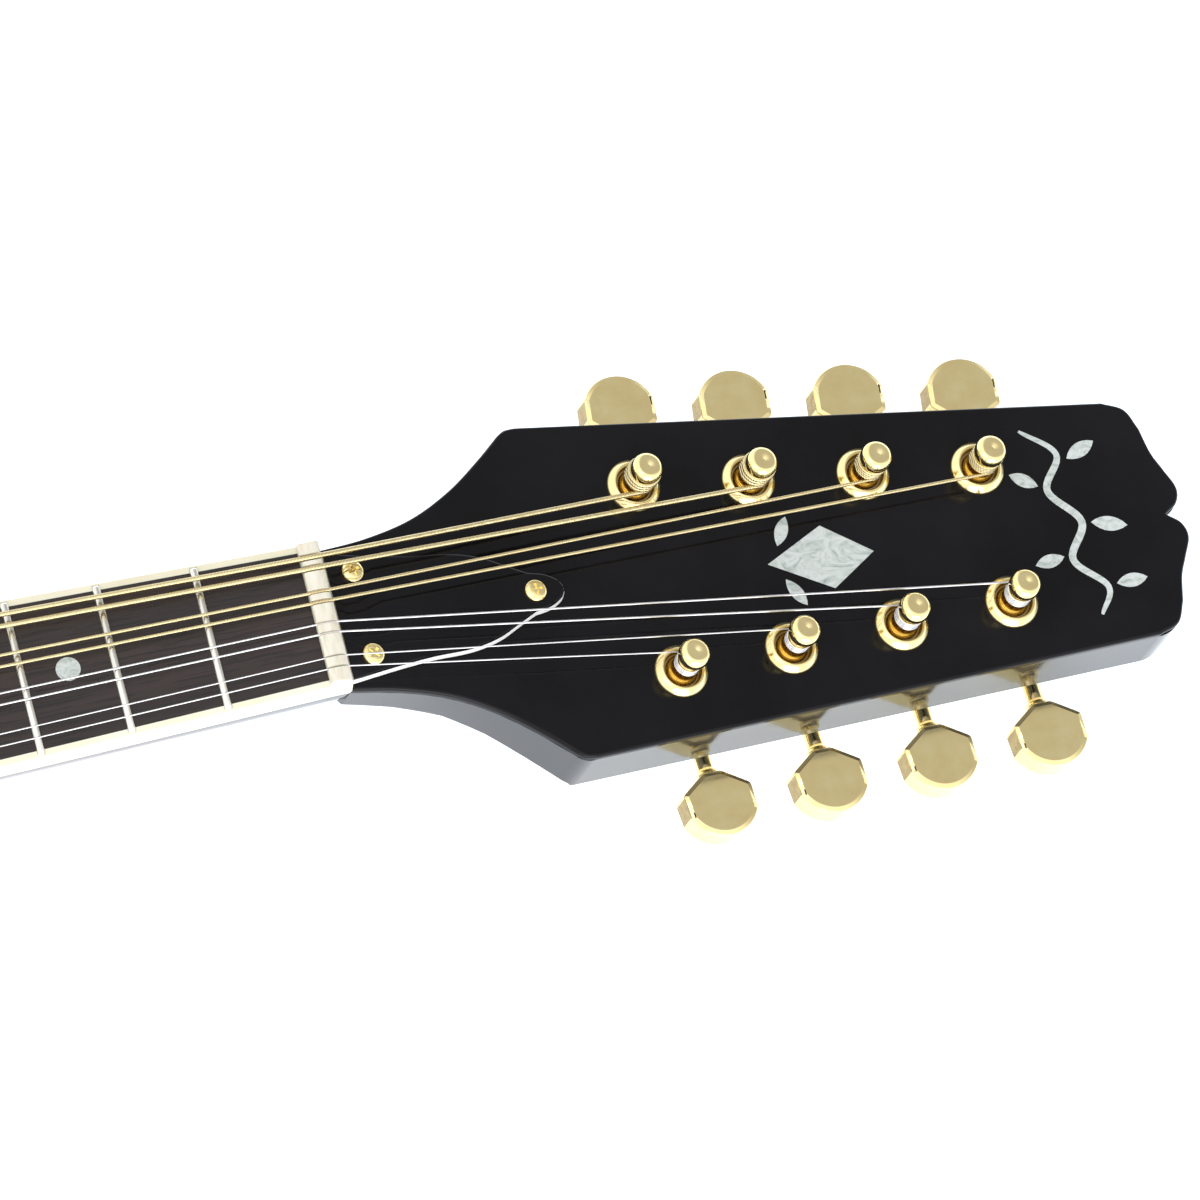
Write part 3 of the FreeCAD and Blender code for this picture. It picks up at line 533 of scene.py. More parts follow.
rosewood_shades = (0.013, 0.008, 0.007), (0.024, 0.014, 0.012), (0.040, 0.023, 0.018)
ebony_shades = (0.008, 0.006, 0.006), (0.014, 0.011, 0.010), (0.026, 0.018, 0.014)
rosewood = dark_wood("rosewood", rosewood_shades, (0.5, 0.36))
ebony = dark_wood("ebony", ebony_shades, (0.42, 0.3), (60, 12, 120))
print("dark woods ready")

# %% [markdown]
# ### Steel, fret wire and wound strings
# Plain strings and frets are hard, pale alloys. A wound string is a steel core wrapped with
# round bronze wire, so close up it is a row of tiny rings. They are far finer than the mesh,
# so a wave texture across the string makes them as bump and as a change of colour; the dark
# bands between the rings are painted shade in the grooves.

# %% Wire and fret metal
fret_metal = Finish("fret_wire", Metallic=1.0)
fret_lines = fret_metal.noise(1.0, 3, stretch=(3000, 200, 3000))
fret_metal.pattern(fret_lines, tones((0.66, 0.64, 0.58), (0.82, 0.80, 0.74)), (0.22, 0.32), 0.000005, 0.6)

plain_steel = Finish("plain_string", Metallic=1.0)
wear = plain_steel.noise(120, 4)
plain_steel.pattern(wear, tones((0.70, 0.70, 0.71), (0.86, 0.86, 0.87)), (0.14, 0.26))

bronze = Finish("wound_string", Metallic=1.0)
across = {"Scale": 1.0, "Vector": bronze.place((1150, 0, 0))}
rings = bronze.node("ShaderNodeTexWave", across, wave_type="BANDS", bands_direction="X").outputs["Fac"]
tarnish = bronze.noise(90, 4)
# Painted shade: the dark end of the ramp darkens the grooves between the rings.
ring_stops_painted_groove_shade = [(0.0, (0.28, 0.20, 0.08)), (0.45, (0.80, 0.68, 0.36)), (1.0, (0.95, 0.86, 0.56))]
ring_tone_painted_groove_shade = bronze.ramp(rings, ring_stops_painted_groove_shade)
bronze.color(bronze.mix(bronze.span(tarnish, 0.3, 0.7, 0.0, 0.25), ring_tone_painted_groove_shade, (0.55, 0.42, 0.20)))
bronze.rough(tarnish, (0.24, 0.36))
bronze.bump(rings, 0.00004, 0.6)

tool_steel = Finish("tool_steel", Metallic=1.0)
mill = tool_steel.noise(1.0, 4, stretch=(60, 900, 900))
tool_steel.pattern(mill, tones((0.42, 0.42, 0.43), (0.60, 0.60, 0.61)), (0.3, 0.45))
print("metals ready")

# %% [markdown]
# ### Sunburst spruce
# The top is quarter-sawn spruce: narrow even lines that run with the strings. A sunburst is
# sprayed over it, amber in the middle and nearly black at the rim. The burst needs the
# distance from the middle of a teardrop, so the x distance is stretched on the neck side.

# %% The sunburst top
BURST_MIDDLE = -0.035
BURST_TAIL, BURST_NECK, BURST_SIDE = 0.134, 0.235, 0.126


def burst(wood, tone, shades):
    """Sprays a teardrop-shaped sunburst over a wood tone."""
    parts = wood.node("ShaderNodeSeparateXYZ", {"Vector": wood.place()})
    x = wood.math("SUBTRACT", parts.outputs["X"], BURST_MIDDLE)
    tail = wood.math("DIVIDE", wood.math("MINIMUM", x, 0.0), BURST_TAIL)
    neck_side = wood.math("DIVIDE", wood.math("MAXIMUM", x, 0.0), BURST_NECK)
    across = wood.math("DIVIDE", parts.outputs["Y"], BURST_SIDE)
    sum_x = wood.math("ADD", wood.math("POWER", tail, 2.0), wood.math("POWER", neck_side, 2.0))
    away = wood.math("SQRT", wood.math("ADD", sum_x, wood.math("POWER", across, 2.0)))
    ripple = wood.noise(9, 3)
    away = wood.math("ADD", away, wood.span(ripple, 0.3, 0.7, -0.04, 0.04))
    return wood.mix(1.0, tone, wood.ramp(away, shades), "MULTIPLY")


spruce = Finish("spruce_sunburst", Coat_Weight=0.7, Coat_Roughness=0.05)
annual = spruce.noise(1.0, 3, 0.5, 0.3, stretch=(1.2, 620, 40))
silk = spruce.noise(1.0, 4, stretch=(60, 900, 60))
spruce_tone = spruce.ramp(annual, tones((0.50, 0.32, 0.14), (0.80, 0.60, 0.34), (0.90, 0.74, 0.47)))
sprayed = [(0.0, (1.0, 0.78, 0.42)), (0.5, (0.95, 0.50, 0.16)), (0.76, (0.42, 0.11, 0.035)),
           (0.94, (0.055, 0.018, 0.010))]
spruce.color(burst(spruce, spruce_tone, sprayed))
spruce.rough(silk, (0.16, 0.28))
spruce.bump(annual, 0.00002, 0.2)
print("top ready")

# %% [markdown]
# ### Sides, back and inside
# The sides and back are maple, stained dark, with a flame that crosses the grain in soft
# bands. Inside, the blocks and braces are bare spruce. The ring round the sound hole is
# inlaid with broken shell, which a cell texture imitates.

# %% The other woods and the ring
maple = Finish("stained_maple", Coat_Weight=0.7, Coat_Roughness=0.05)
flame = maple.noise(1.0, 4, 0.5, 0.8, stretch=(150, 14, 14))
pore = maple.noise(1.0, 4, stretch=(20, 500, 500))
flamed = [(0.32, (0.045, 0.014, 0.008)), (0.5, (0.11, 0.033, 0.015)), (0.68, (0.21, 0.070, 0.026))]
maple_tone = maple.ramp(flame, flamed)
maple.color(maple.mix(maple.span(pore, 0.4, 0.7, 0.0, 0.35), maple_tone, (0.03, 0.010, 0.006)))
maple.rough(flame, (0.14, 0.24))
maple.bump(pore, 0.00002, 0.2)

bare_wood = Finish("bare_spruce")
split = bare_wood.noise(1.0, 4, stretch=(12, 300, 60))
bare_wood.pattern(split, tones((0.42, 0.29, 0.16), (0.62, 0.47, 0.29)), (0.6, 0.75), 0.0001, 0.4)

ring_cream = Finish("ring_inlay", Roughness=0.2, Coat_Weight=0.5)
flecks = ring_cream.node("ShaderNodeTexVoronoi", {"Scale": 420, "Vector": ring_cream.place()})
broken_shell = [(0.1, (0.86, 0.83, 0.73)), (0.5, (0.66, 0.68, 0.60)), (0.9, (0.42, 0.46, 0.42))]
ring_cream.pattern(flecks.outputs["Distance"], broken_shell)
print("body woods ready")

# %% [markdown]
# ### A neck that goes from black to wood
# The headstock is black all round. On the neck the maker lets the black fade into a dark
# brown stain. The fade follows x, the direction of the neck, with a soft edge.

# %% Neck finish
FADE = (0.318, 0.352)
neck_wood = Finish("neck_lacquer", IOR=1.5, Coat_Weight=0.35, Coat_Roughness=0.05)
fibre = neck_wood.noise(1.0, 5, 0.55, 0.5, stretch=(14, 320, 320))
brown = neck_wood.ramp(fibre, tones((0.022, 0.008, 0.005), (0.055, 0.019, 0.010), (0.095, 0.033, 0.015)))
along_neck = neck_wood.node("ShaderNodeSeparateXYZ", {"Vector": neck_wood.place()})
fade = neck_wood.span(along_neck.outputs["X"], *FADE, 0.0, 1.0)
neck_wood.color(neck_wood.mix(fade, brown, (0.006, 0.0058, 0.0068)))
neck_wood.rough(fibre, (0.08, 0.16))
neck_wood.bump(neck_wood.noise(420, 2), 0.00002, 0.25)
print("neck finish ready")

# %% [markdown]
# ### Finishes for the parts that keep their shape
# Large parts come from the frame with their final shape, so they only need a finish. The
# list below reads like a maker's job sheet: one finish, then every part that gets it.

# %% The job sheet
give(spruce, "top_plate")
give(maple, "back_plate", "body_sides")
give(cream, "body_bindings", "fingerboard_binding")
give(bare_wood, "end_blocks", "linings", "braces")
give(ring_cream, "rosette")
give(neck_wood, "neck")
give(ebony, "heel_cap", "bridge_base", "bridge_saddle")
give(rosewood, "fingerboard")
give(tool_steel, "truss_rod")
give(gold, "truss_rod_nut", "bridge_studs", "bridge_wheel_bass", "bridge_wheel_treble", "tailpiece",
     "tailpiece_screws", "tailpiece_cover", "tuner_plate_bass", "tuner_plate_treble", "tuner_mount_screws")
give(pearl, "position_dots")
print("finished", sum(len(node.data.materials) > 0 for node in nodes.values()), "of", len(nodes), "nodes")

# %% [markdown]
# ## The headstock face
# The face is a thin veneer cut to the headstock's outline: a flared throat behind the nut,
# broad shoulders, a long straight taper and two lobes at the tip with a notch between them.
# Half of the outline is enough, because the other half is its mirror image. The router's
# quarter round at the edge catches a thin line of light.

# %% Headstock outline and face
def head_half():
    """Half of the outline, from the nut to the notch at the tip."""
    half = flowing([(0, 14.2), (10, 15.5), (20, 18.2), (29, 22.9), (36.6, 28.6), (40.9, 32.3)], 8)
    half = half[:-1] + flowing([(40.9, 32.3), (42.6, 33.35), (44.8, 33.6)], 4)
    half += flowing([(161.4, 23.7), (165.6, 21.8), (167.6, 17.6)], 6)
    lobe = [(167.6, 17.6), (168.7, 12.6), (170.3, 9.0), (172.0, 5.0), (171.2, 2.0), (168.6, 0)]
    return half[:-1] + flowing(lobe, 6)


face = add_piece("headstock_face", sawn(both_halves(head_half()), round_over(-1.6, 0.0, 0.7)), HEAD,
                 [lacquer], stands_for=["headstock_veneer"])
smooth(face, 50)
print("headstock face", len(face.data.vertices), "points")

# %% [markdown]
# ## The rod cover
# A small bell-shaped plate hides the wrench pocket. It is cut from laminate, black over
# white, and its edge is filed to a steep bevel so the white core shows as a fine line.
# Two finishes share the piece, and each face takes the one for its layer. Its straight end
# stays against the nut, so the points there are moved back after the bevel.

# %% Rod cover
NUT_END = 0.3
white_core = Finish("laminate_white", Roughness=0.3)
white_core.pattern(white_core.noise(700, 3), tones((0.80, 0.80, 0.78), (0.9, 0.9, 0.88)))


def bell_half():
    """Half of the bell-shaped outline, from the nut to the tip of its tongue."""
    flank = [(NUT_END, 13.2), (9, 11.7), (17, 10.6), (25, 10.0), (31, 8.5), (36, 6.0), (39.4, 4.3)]
    tongue = [(39.4, 4.3), (42.6, 3.6), (45.0, 2.2), (46.0, 0.8), (46.2, 0)]
    return flowing(flank, 5)[:-1] + flowing(tongue, 4)


cover_levels = [(0, 0), (0.35, 0.0), (1.45, 0.35), (1.85, 0.5), (2.0, 0.75)]
bell = both_halves(bell_half())
cover = add_piece("rod_cover", sawn(bell, cover_levels), HEAD, [lacquer, white_core],
                  stands_for=["truss_rod_cover"])
for vertex in cover.data.vertices:
    spot = HEAD.inverted() @ vertex.co
    if spot.x < 1.5:
        vertex.co = HEAD @ Vector((NUT_END, spot.y, spot.z))
for polygon in cover.data.polygons:
    polygon.material_index = 1 if len(bell) <= polygon.index < 2 * len(bell) else 0
smooth(cover, 30)
print("rod cover", len(bell), "points round")

# %% [markdown]
# ## Cross-head screws
# A screw head is a low dome with a cross punched in it. The dome is turned; the cross is cut
# with a boolean, as the punch does, and the modifier is applied so that the mesh is final.

# %% A punch, and the cover's screws
def punched(obj, shape, bench):
    """Cuts a shape out of a piece and keeps the result as plain mesh."""
    tool = on_bench("punch", shape, bench)
    cut = obj.modifiers.new("punch", "BOOLEAN")
    cut.operation = "DIFFERENCE"
    cut.solver = "EXACT"
    cut.object = tool
    done = bpy.data.meshes.new_from_object(obj.evaluated_get(bpy.context.evaluated_depsgraph_get()))
    obj.modifiers.clear()
    old, name = obj.data, obj.data.name
    obj.data = done
    bpy.data.meshes.remove(old)
    done.name = name
    punch_mesh = tool.data
    bpy.data.objects.remove(tool)
    bpy.data.meshes.remove(punch_mesh)


def cross_punch(size, width, top, bottom):
    """Four tapering arms that meet in the middle."""
    quarter = [(size, -width), (size, width), (width, width)]
    cross = list(quarter)
    for _ in range(3):
        quarter = [(-y, x) for x, y in quarter]
        cross += quarter
    return sawn(cross, [(bottom, 0), (top, 0)])


def screw_profile(radius, height, shank, length):
    """Lathe profile of a domed head on a plain shank."""
    dome = [(0, -length), (shank, -length), (shank, 0), (radius, 0), (radius, 0.25)]
    for i in range(1, 8):
        a = math.pi / 2 * i / 7
        dome.append((radius * math.cos(a) if i < 7 else 0, 0.25 + (height - 0.25) * math.sin(a)))
    return dome


cover_screws = []
for x, y, turn in ((5.1, 8.4, 0.35), (5.1, -8.4, 0.8), (39.9, 0, 0.1)):
    spot = HEAD @ Matrix.Translation((x, y, 2.0)) @ Matrix.Rotation(turn, 4, "Z")
    screw = add_piece(f"cover_screw_{len(cover_screws) + 1}", turned(screw_profile(2.2, 1.15, 1.2, 7), 40),
                      spot, [gold])
    punched(screw, cross_punch(1.15, 0.24, 3.0, 0.45), spot)
    smooth(screw, 30)
    cover_screws.append(screw)
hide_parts("truss_cover_screws")
print("screws", len(cover_screws))

# %% [markdown]
# ## Pearl inlays
# Shell is sawn into thin shapes and glued in pockets in the face: a kite with two petals
# between the rows of tuners, and a leafy vine across the tip. Each is a flat outline with a
# trace of height, so the polish of the shell and of the lacquer meet in a crisp edge.

# %% Inlays
PROUD = 0.03


def leaf(x, y, length, width, turn):
    """Pointed oval leaf with its stem end at x, y."""
    out = []
    for side in (1, -1):
        steps = range(0, 9) if side > 0 else range(7, 0, -1)
        for i in steps:
            t = i / 8
            out.append((t * length, side * width / 2 * math.sin(math.pi * t) ** 0.8))
    c, s = math.cos(math.radians(turn)), math.sin(math.radians(turn))
    return anticlockwise([(x + a * c - b * s, y + a * s + b * c) for a, b in out])


def ribbon(path, width):
    """Outline of a ribbon that follows a path and thins at both ends."""
    left, right = [], []
    for i, here in enumerate(path):
        ahead = Vector(path[min(i + 1, len(path) - 1)]) - Vector(path[max(i - 1, 0)])
        side = Vector((-ahead.y, ahead.x)).normalized()
        t = i / (len(path) - 1)
        half = width * (0.35 + 0.65 * math.sin(math.pi * t) ** 0.5)
        left.append(tuple(Vector(here) + side * half))
        right.append(tuple(Vector(here) - side * half))
    return anticlockwise(left + right[::-1])


VINE = [(143.5, 20.0), (149.8, 14.5), (146.2, 7.5), (151.4, 0.5), (147.8, -6.8), (153.4, -13), (150.8, -18.4)]
LEAVES = [(151.6, 13.4, 6.8, 2.9, 25), (144.6, 8.6, 6.0, 2.7, 150), (153.2, 0.2, 7.2, 3.0, -12),
          (146.2, -6.0, 6.2, 2.7, 190), (155.2, -12.6, 6.4, 2.8, 5)]
KITE = [(87.5, 0), (99.6, -6.4), (109, 0), (99.6, 6.4)]
shapes = [KITE, leaf(90.3, 3.4, 6.4, 2.6, 62), leaf(90.3, -3.4, 6.4, 2.6, -62)]
shapes += [ribbon(flowing(VINE, 10), 0.75)] + [leaf(*row) for row in LEAVES]
cut_shell = [sawn(shape, [(-0.3, 0), (PROUD, 0)]) for shape in shapes]
add_piece("pearl_inlays", together(*cut_shell), HEAD, [pearl], stands_for=["headstock_inlays"])
print("inlays", len(shapes), "shapes")

# %% [markdown]
# ## Bushings and posts
# Each string post turns in a flanged bushing pressed into the face. Both are turned on a
# lathe, so a profile is all they need. The post has a waist where the string winds, a hole
# for the string's end and a small dimple in its top, left by the lathe's centre.

# %% Bushings and posts
BUSHING = [(3.07, -1.5), (3.07, 0.2), (3.2, 0.12), (3.5, 0.15), (3.68, 0.4), (3.72, 1.3), (3.78, 1.55),
           (3.92, 1.7), (4.12, 1.68), (4.4, 1.45), (5.0, 0.85), (5.22, 0.58), (5.3, 0.3), (5.3, 0.0),
           (4.4, 0.0), (4.4, -1.5)]
SHANK = [(0, -16.9), (3.0, -16.9), (3.0, 0.8), (2.9, 1.1), (2.6, 1.4), (2.4, 1.8), (2.32, 2.4), (2.3, 3.2)]
KNOB = [(2.3, 6.4), (2.34, 6.9), (2.5, 7.25), (2.75, 7.5), (2.93, 7.8), (3.0, 8.2), (3.0, 8.9), (2.96, 9.3),
        (2.83, 9.7), (2.6, 10.07), (2.3, 10.35), (1.95, 10.52), (1.7, 10.57), (1.62, 10.56), (0.45, 10.55),
        (0.3, 10.45), (0, 10.4)]
MOUTH = 3.74
string_hole = Matrix.Translation((0, 0, 5.4)) @ Matrix.Rotation(math.pi / 2, 4, "Y")
for number, bench in TUNERS.items():
    bushing = add_piece(f"bushing_{number}", turned(BUSHING + BUSHING[:1]), bench, [gold, gold_painted_shade])
    # Painted shade: the faces inside the mouth get the darker gold, for the shade in the recess.
    for polygon in bushing.data.polygons:
        middle = bench.inverted() @ polygon.center
        polygon.material_index = 1 if math.hypot(middle.x, middle.y) < MOUTH and middle.z > -0.1 else 0
    smooth(bushing, 40)
    if number == 1:
        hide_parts("tuner_bushings")
    post = add_piece(f"post_{number}", turned(SHANK + KNOB, 56), bench, [gold], f"post_{number}")
    punched(post, moved(turned([(0, -6), (0.75, -6), (0.75, 6), (0, 6)], 24), string_hole), bench)
    smooth(post, 35)
print("bushings and posts", len(TUNERS))

# %% [markdown]
# ## Gear and worm
# Behind the headstock a worm on the button's shaft turns a fourteen-tooth gear on the post.
# The gear is an outline with teeth, sawn thick. The worm's thread is a small profile swept
# along a helix round the shaft.

# %% Gear, worm and shaft
TEETH = 14
PITCH = math.pi * 0.6
CENTRES = 6.0
SHAFT_DEPTH = -18.25
TOOTH = [(3.5, 0.46), (3.9, 0.36), (4.2, 0.28), (4.5, 0.2), (4.6, 0.15)]


def gear_outline():
    """Teeth one after the other, each up one flank and down the other."""
    out = []
    for i in range(TEETH):
        middle = 2 * math.pi * (i + 0.5) / TEETH
        out += [(radius, middle - half / radius) for radius, half in TOOTH]
        out += [(radius, middle + half / radius) for radius, half in TOOTH[::-1]]
    return [(r * math.cos(a), r * math.sin(a)) for r, a in out]


def worm_thread(sides=36, turns=3):
    """Trapezoid thread wound round the y axis, fading in and out at its ends."""
    points = []
    count = turns * sides
    for i in range(count + 1):
        angle = math.pi - 2 * math.pi * (i - count / 2) / sides
        middle = PITCH * (i - count / 2) / sides
        tall = min(1.0, 6 * min(i, count - i) / count)
        crest = 1.2 + 1.1 * tall
        for radius, half in ((1.2, -0.40), (crest, -0.16), (crest, 0.16), (1.2, 0.40)):
            points.append((radius * math.cos(angle), middle + half, radius * math.sin(angle)))
    return points, skin(count + 1, 4)


SHAFT = [(0, -6.3), (1.35, -6.3), (1.6, -6.05), (1.6, -3.6), (1.25, -3.4), (1.25, 3.4), (1.6, 3.6),
         (1.6, 14.2), (0, 14.2)]
GEAR_BACK = -19.35
GEAR_LEVELS = [(GEAR_BACK, 0.12), (-19.2, 0), (-17.3, 0), (-17.15, 0.12)]
worm_seat = Matrix.Translation((CENTRES, 0, SHAFT_DEPTH))
along_y = Matrix.Rotation(-math.pi / 2, 4, "X")
gear_screw = screw_profile(2.3, 1.1, 0.8, 0.2)
for number, bench in TUNERS.items():
    body = f"post_{number}"
    gear = add_piece(f"gear_{number}", sawn(gear_outline(), GEAR_LEVELS), bench, [gold], body)
    smooth(gear, 30)
    seat = bench @ Matrix.Translation((0, 0, GEAR_BACK)) @ Matrix.Rotation(math.pi, 4, "X")
    cap = add_piece(f"gear_screw_{number}", turned(gear_screw, 36), seat, [gold], body)
    punched(cap, cross_punch(1.3, 0.25, 3.0, 0.5), seat)
    smooth(cap, 30)
    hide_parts(f"tuner_{number}_post")
    shaft = together(moved(turned(SHAFT, 40), worm_seat @ along_y), moved(worm_thread(), worm_seat))
    worm = add_piece(f"worm_{number}", shaft, bench, [gold], f"button_{number}")
    smooth(worm, 35)
print("gears and worms", len(TUNERS))

# %% [markdown]
# ## Buttons
# The button has sloped shoulders at the shaft, straight sides and a round outer end. It is
# cast, filed flat on both faces with a wide bevel, and plated. The bevel comes from the
# outline moved in at both faces, and a fine bevel modifier softens every remaining edge. The
# flat faces stay flat in the shading too, so each one mirrors a single patch of the room.

# %% Buttons
def button_outline():
    """Sloped shoulders, straight sides and a round outer end."""
    right = [(1.6, 15.6), (2.2, 15.85), (6.55, 18.8), (6.9, 19.15), (6.97, 19.7), (6.85, 23.7)]
    right += arc_points((0, 21.1), 7.4, 22, 90, 12)
    return anticlockwise(right + [(-x, y) for x, y in reversed(right) if x > 1e-6])


COLLAR = [(0, 14.6), (1.7, 14.6), (2.0, 14.8), (2.2, 15.3), (2.25, 16.4), (0, 16.4)]
BUTTON_LEVELS = [(-2.95, 0.85), (-2.6, 0.08), (-2.45, 0), (2.45, 0), (2.6, 0.08), (2.95, 0.85)]
plate = moved(sawn(button_outline(), BUTTON_LEVELS), worm_seat)
collar = moved(turned(COLLAR, 40), worm_seat @ along_y)
for number, bench in TUNERS.items():
    button = add_piece(f"button_{number}", together(plate, collar), bench, [gold, gold_painted_shade],
                       f"button_{number}", [f"tuner_{number}_button"])
    along = (bench.to_3x3() @ Vector((1, 0, 0))).normalized()
    # Painted shade: the straight sides get the darker gold, for the shade they mirror from under the
    # headstock.
    for polygon in button.data.polygons:
        polygon.material_index = 1 if abs(polygon.normal.dot(along)) > 0.97 and polygon.area > 5e-6 else 0
    ease_edges(smooth(button, 14), 0.18, 3, 16)
print("buttons", len(TUNERS))

# %% [markdown]
# ## Strings
# Four wound strings go to the bass row and four plain ones to the treble row, each from its
# hook, over the saddle and the nut, to the inner side of its post. There it winds up the
# waist in a helix. The long run stays with the mandolin;
# the turns move with the post.

# %% String runs and turns
RADII = (0.50, 0.50, 0.33, 0.33, 0.20, 0.20, 0.14, 0.14)
TURNS = (3, 3, 4, 4, 6, 6, 7, 7)
NUT_Y = (11.1, 8.9, 4.15, 2.1)
BRIDGE_Y = (20.2, 17.2, 7.7, 4.7)
TAIL_Y = (15.5, 11.1, 6.7, 2.3)
WAIST = 2.32
HOOK = (-136.0, 64.4)
BRIDGE_LIFT = JOINT_HEIGHT + SCALE_LENGTH / 2 * math.sin(NECK_TILT) + 4.1
LOW_TURN = 3.7
BEND = 0.0015


def string_side(number):
    """+1 for the bass side or -1 for the treble side, and the row counted from outside."""
    return (1, number - 1) if number <= 4 else (-1, 8 - number)


def string_run(number):
    """Path of one string in metres from its hook to where it meets its post."""
    side, row = string_side(number)
    r = RADII[number - 1]
    hook = BODY @ Vector((HOOK[0], side * TAIL_Y[row], HOOK[1]))
    saddle = BODY @ Vector((0, side * BRIDGE_Y[row], BRIDGE_LIFT + r))
    front = NECK @ Vector((0.0, side * NUT_Y[row], 1.1 + r))
    rear = NECK @ Vector((NUT_WIDTH - 1.2, side * NUT_Y[row], 1.1 + r))
    bench = TUNERS[number]
    away = bench.inverted() @ rear
    swing = math.acos((WAIST + r) / math.hypot(away.x, away.y))
    angle = math.atan2(away.y, away.x) + swing
    touch = bench @ Vector(((WAIST + r) * math.cos(angle), (WAIST + r) * math.sin(angle), LOW_TURN + r))
    return [hook, saddle, front, rear, touch], angle


def softened(corners, reach):
    """Rounds each inner corner over a short reach, so the wire bends like wire."""
    out = [corners[0]]
    for a, b, c in zip(corners, corners[1:], corners[2:]):
        near = b + (a - b).normalized() * min(reach, (a - b).length / 3)
        far = b + (c - b).normalized() * min(reach, (c - b).length / 3)
        for i in range(7):
            t = i / 6
            out.append(near.lerp(b, t).lerp(b.lerp(far, t), t))
    out.append(corners[-1])
    return out


def string_turns(number, start):
    """Helix up the waist of the post from the angle where the string arrives."""
    r = RADII[number - 1]
    lift = 2 * r * 1.03
    steps = 40
    total = TURNS[number - 1] * steps + steps // 4
    path = []
    for i in range(total + 1):
        a = start + 2 * math.pi * i / steps
        path.append(((WAIST + r) * math.cos(a), (WAIST + r) * math.sin(a), LOW_TURN + r + lift * i / steps))
    return path


def hook_loop(number):
    """The loop at the string's tail end, lying round its hook."""
    side, row = string_side(number)
    r = RADII[number - 1]
    big = 1.5 + r
    centre = (HOOK[0] - big, side * TAIL_Y[row])
    return [(x, y, HOOK[1]) for x, y in arc_points(centre, big, 0, 360, 28)]


for number in range(1, 9):
    wound = number <= 4
    finish = bronze if wound else plain_steel
    r = RADII[number - 1]
    corners, angle = string_run(number)
    run = drawn(softened(corners, BEND), r * MM, 12)
    loop = moved(drawn(hook_loop(number), r, 10), BODY)
    string = add_piece(f"string_{number}", together(run, loop), METRES, [finish])
    smooth(string, 60)
    if number in (1, 5):
        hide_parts("wound_strings" if wound else "plain_strings")
    coil = add_piece(f"string_turns_{number}", drawn(string_turns(number, angle), r, 12), TUNERS[number],
                     [finish], f"post_{number}", [f"tuner_{number}_wraps"])
    smooth(coil, 60)
print("strings", len(RADII))

# %% [markdown]
# ## Nut
# The nut is a bar of bone with a rounded top and a slot for each string. It is built in thin
# slices across the neck: each slice is the rounded section, and where a string passes, the
# top of the slice drops to the string's underside.

# %% Nut
NUT_HALF = 14.2
NUT_TOP = 1.95
NUT_EDGE = 0.5
NUT_SECTION = [(0, -6.0), (0, 1.2), (0.08, 1.6), (0.32, 1.87), (0.7, NUT_TOP), (2.6, 1.9), (3.3, 1.72),
               (3.9, 1.4), (4.2, 1.0), (NUT_WIDTH, 0.6), (NUT_WIDTH, -6.0)]


def nut_slice(y):
    """Section of the nut at y, bottom first, with the slot depth at that y."""
    top = NUT_TOP
    for number, r in enumerate(RADII, 1):
        side, row = string_side(number)
        off = abs(y - side * NUT_Y[row])
        if off < r * 1.25:
            top = min(top, 1.1 + r - math.sqrt((r * 1.25) ** 2 - off ** 2) * 0.98)
    edge = max(0.0, 1 - (NUT_HALF - abs(y)) / NUT_EDGE)
    top -= NUT_EDGE * (1 - math.sqrt(max(0.0, 1 - edge * edge)))
    return [(x, y, min(z, top)) for x, z in NUT_SECTION]


stations = [-NUT_HALF + 0.1 * i for i in range(285)]
nut_points = [p for y in stations for p in nut_slice(y)]
nut_shape = flipped((nut_points, skin(len(stations), len(NUT_SECTION))))
smooth(add_piece("bone_nut", nut_shape, NECK, [bone], stands_for=["nut"]), 45)
print("nut", len(nut_points), "points")

# %% [markdown]
# ## Frets
# Fret wire has a low rounded crown. Each fret runs from edge to edge of the bound board, and
# its ends are filed over at a slope so they don't catch the hand.

# %% Frets
FRETS = 20
FRET_FOOT, FRET_CROWN = 0.8, 0.98
FRET_INSET, FRET_SLOPE = 0.3, 0.75
BOARD_TAPER = 0.029


def fret(number):
    """One fret; its place comes from the twelfth root of two."""
    x = -SCALE_LENGTH * (1 - 2 ** (-number / 12))
    half = NUT_HALF - BOARD_TAPER * x - FRET_INSET
    arc = [math.pi * i / 12 for i in range(13)]
    points = []
    for y, tall in ((-half, 0.0), (-half + FRET_SLOPE, 1.0), (half - FRET_SLOPE, 1.0), (half, 0.0)):
        for a in arc:
            along, up = FRET_FOOT * math.cos(a), FRET_CROWN * math.sin(a) ** 0.85
            points.append((x + along * (0.85 + 0.15 * tall), y, up * max(tall, 0.12)))
    return flipped((points, skin(4, len(arc))))


fret_set = together(*[fret(number) for number in range(1, FRETS + 1)])
smooth(add_piece("fret_set", fret_set, NECK, [fret_metal], stands_for=["frets"]), 50)
print("frets", FRETS)

# %% [markdown]
# ## Tailpiece cover
# The cover over the string hooks is pressed from thin sheet. Its back and sides roll over in
# one soft curve, its front is open for the strings and bows forward a little. A border line
# and a panel of fine reeds are pressed in, which also makes the thin sheet stiff. It is built
# as a grid of cross sections, outside and inside, joined round the rim, so it is real sheet
# with a thickness. It rides on the cover's own sliding body.

# %% A pressed cover
COVER_SHEET = 1.0
COVER_ROLL = 3.0
REED_PITCH = 2.6
FRONT_BOW = 5.0
cap_low, cap_high = (Vector(corner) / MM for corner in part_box("tailpiece_cover"))
cap_length = cap_high.x - cap_low.x
cap_half = (cap_high.y - cap_low.y) / 2


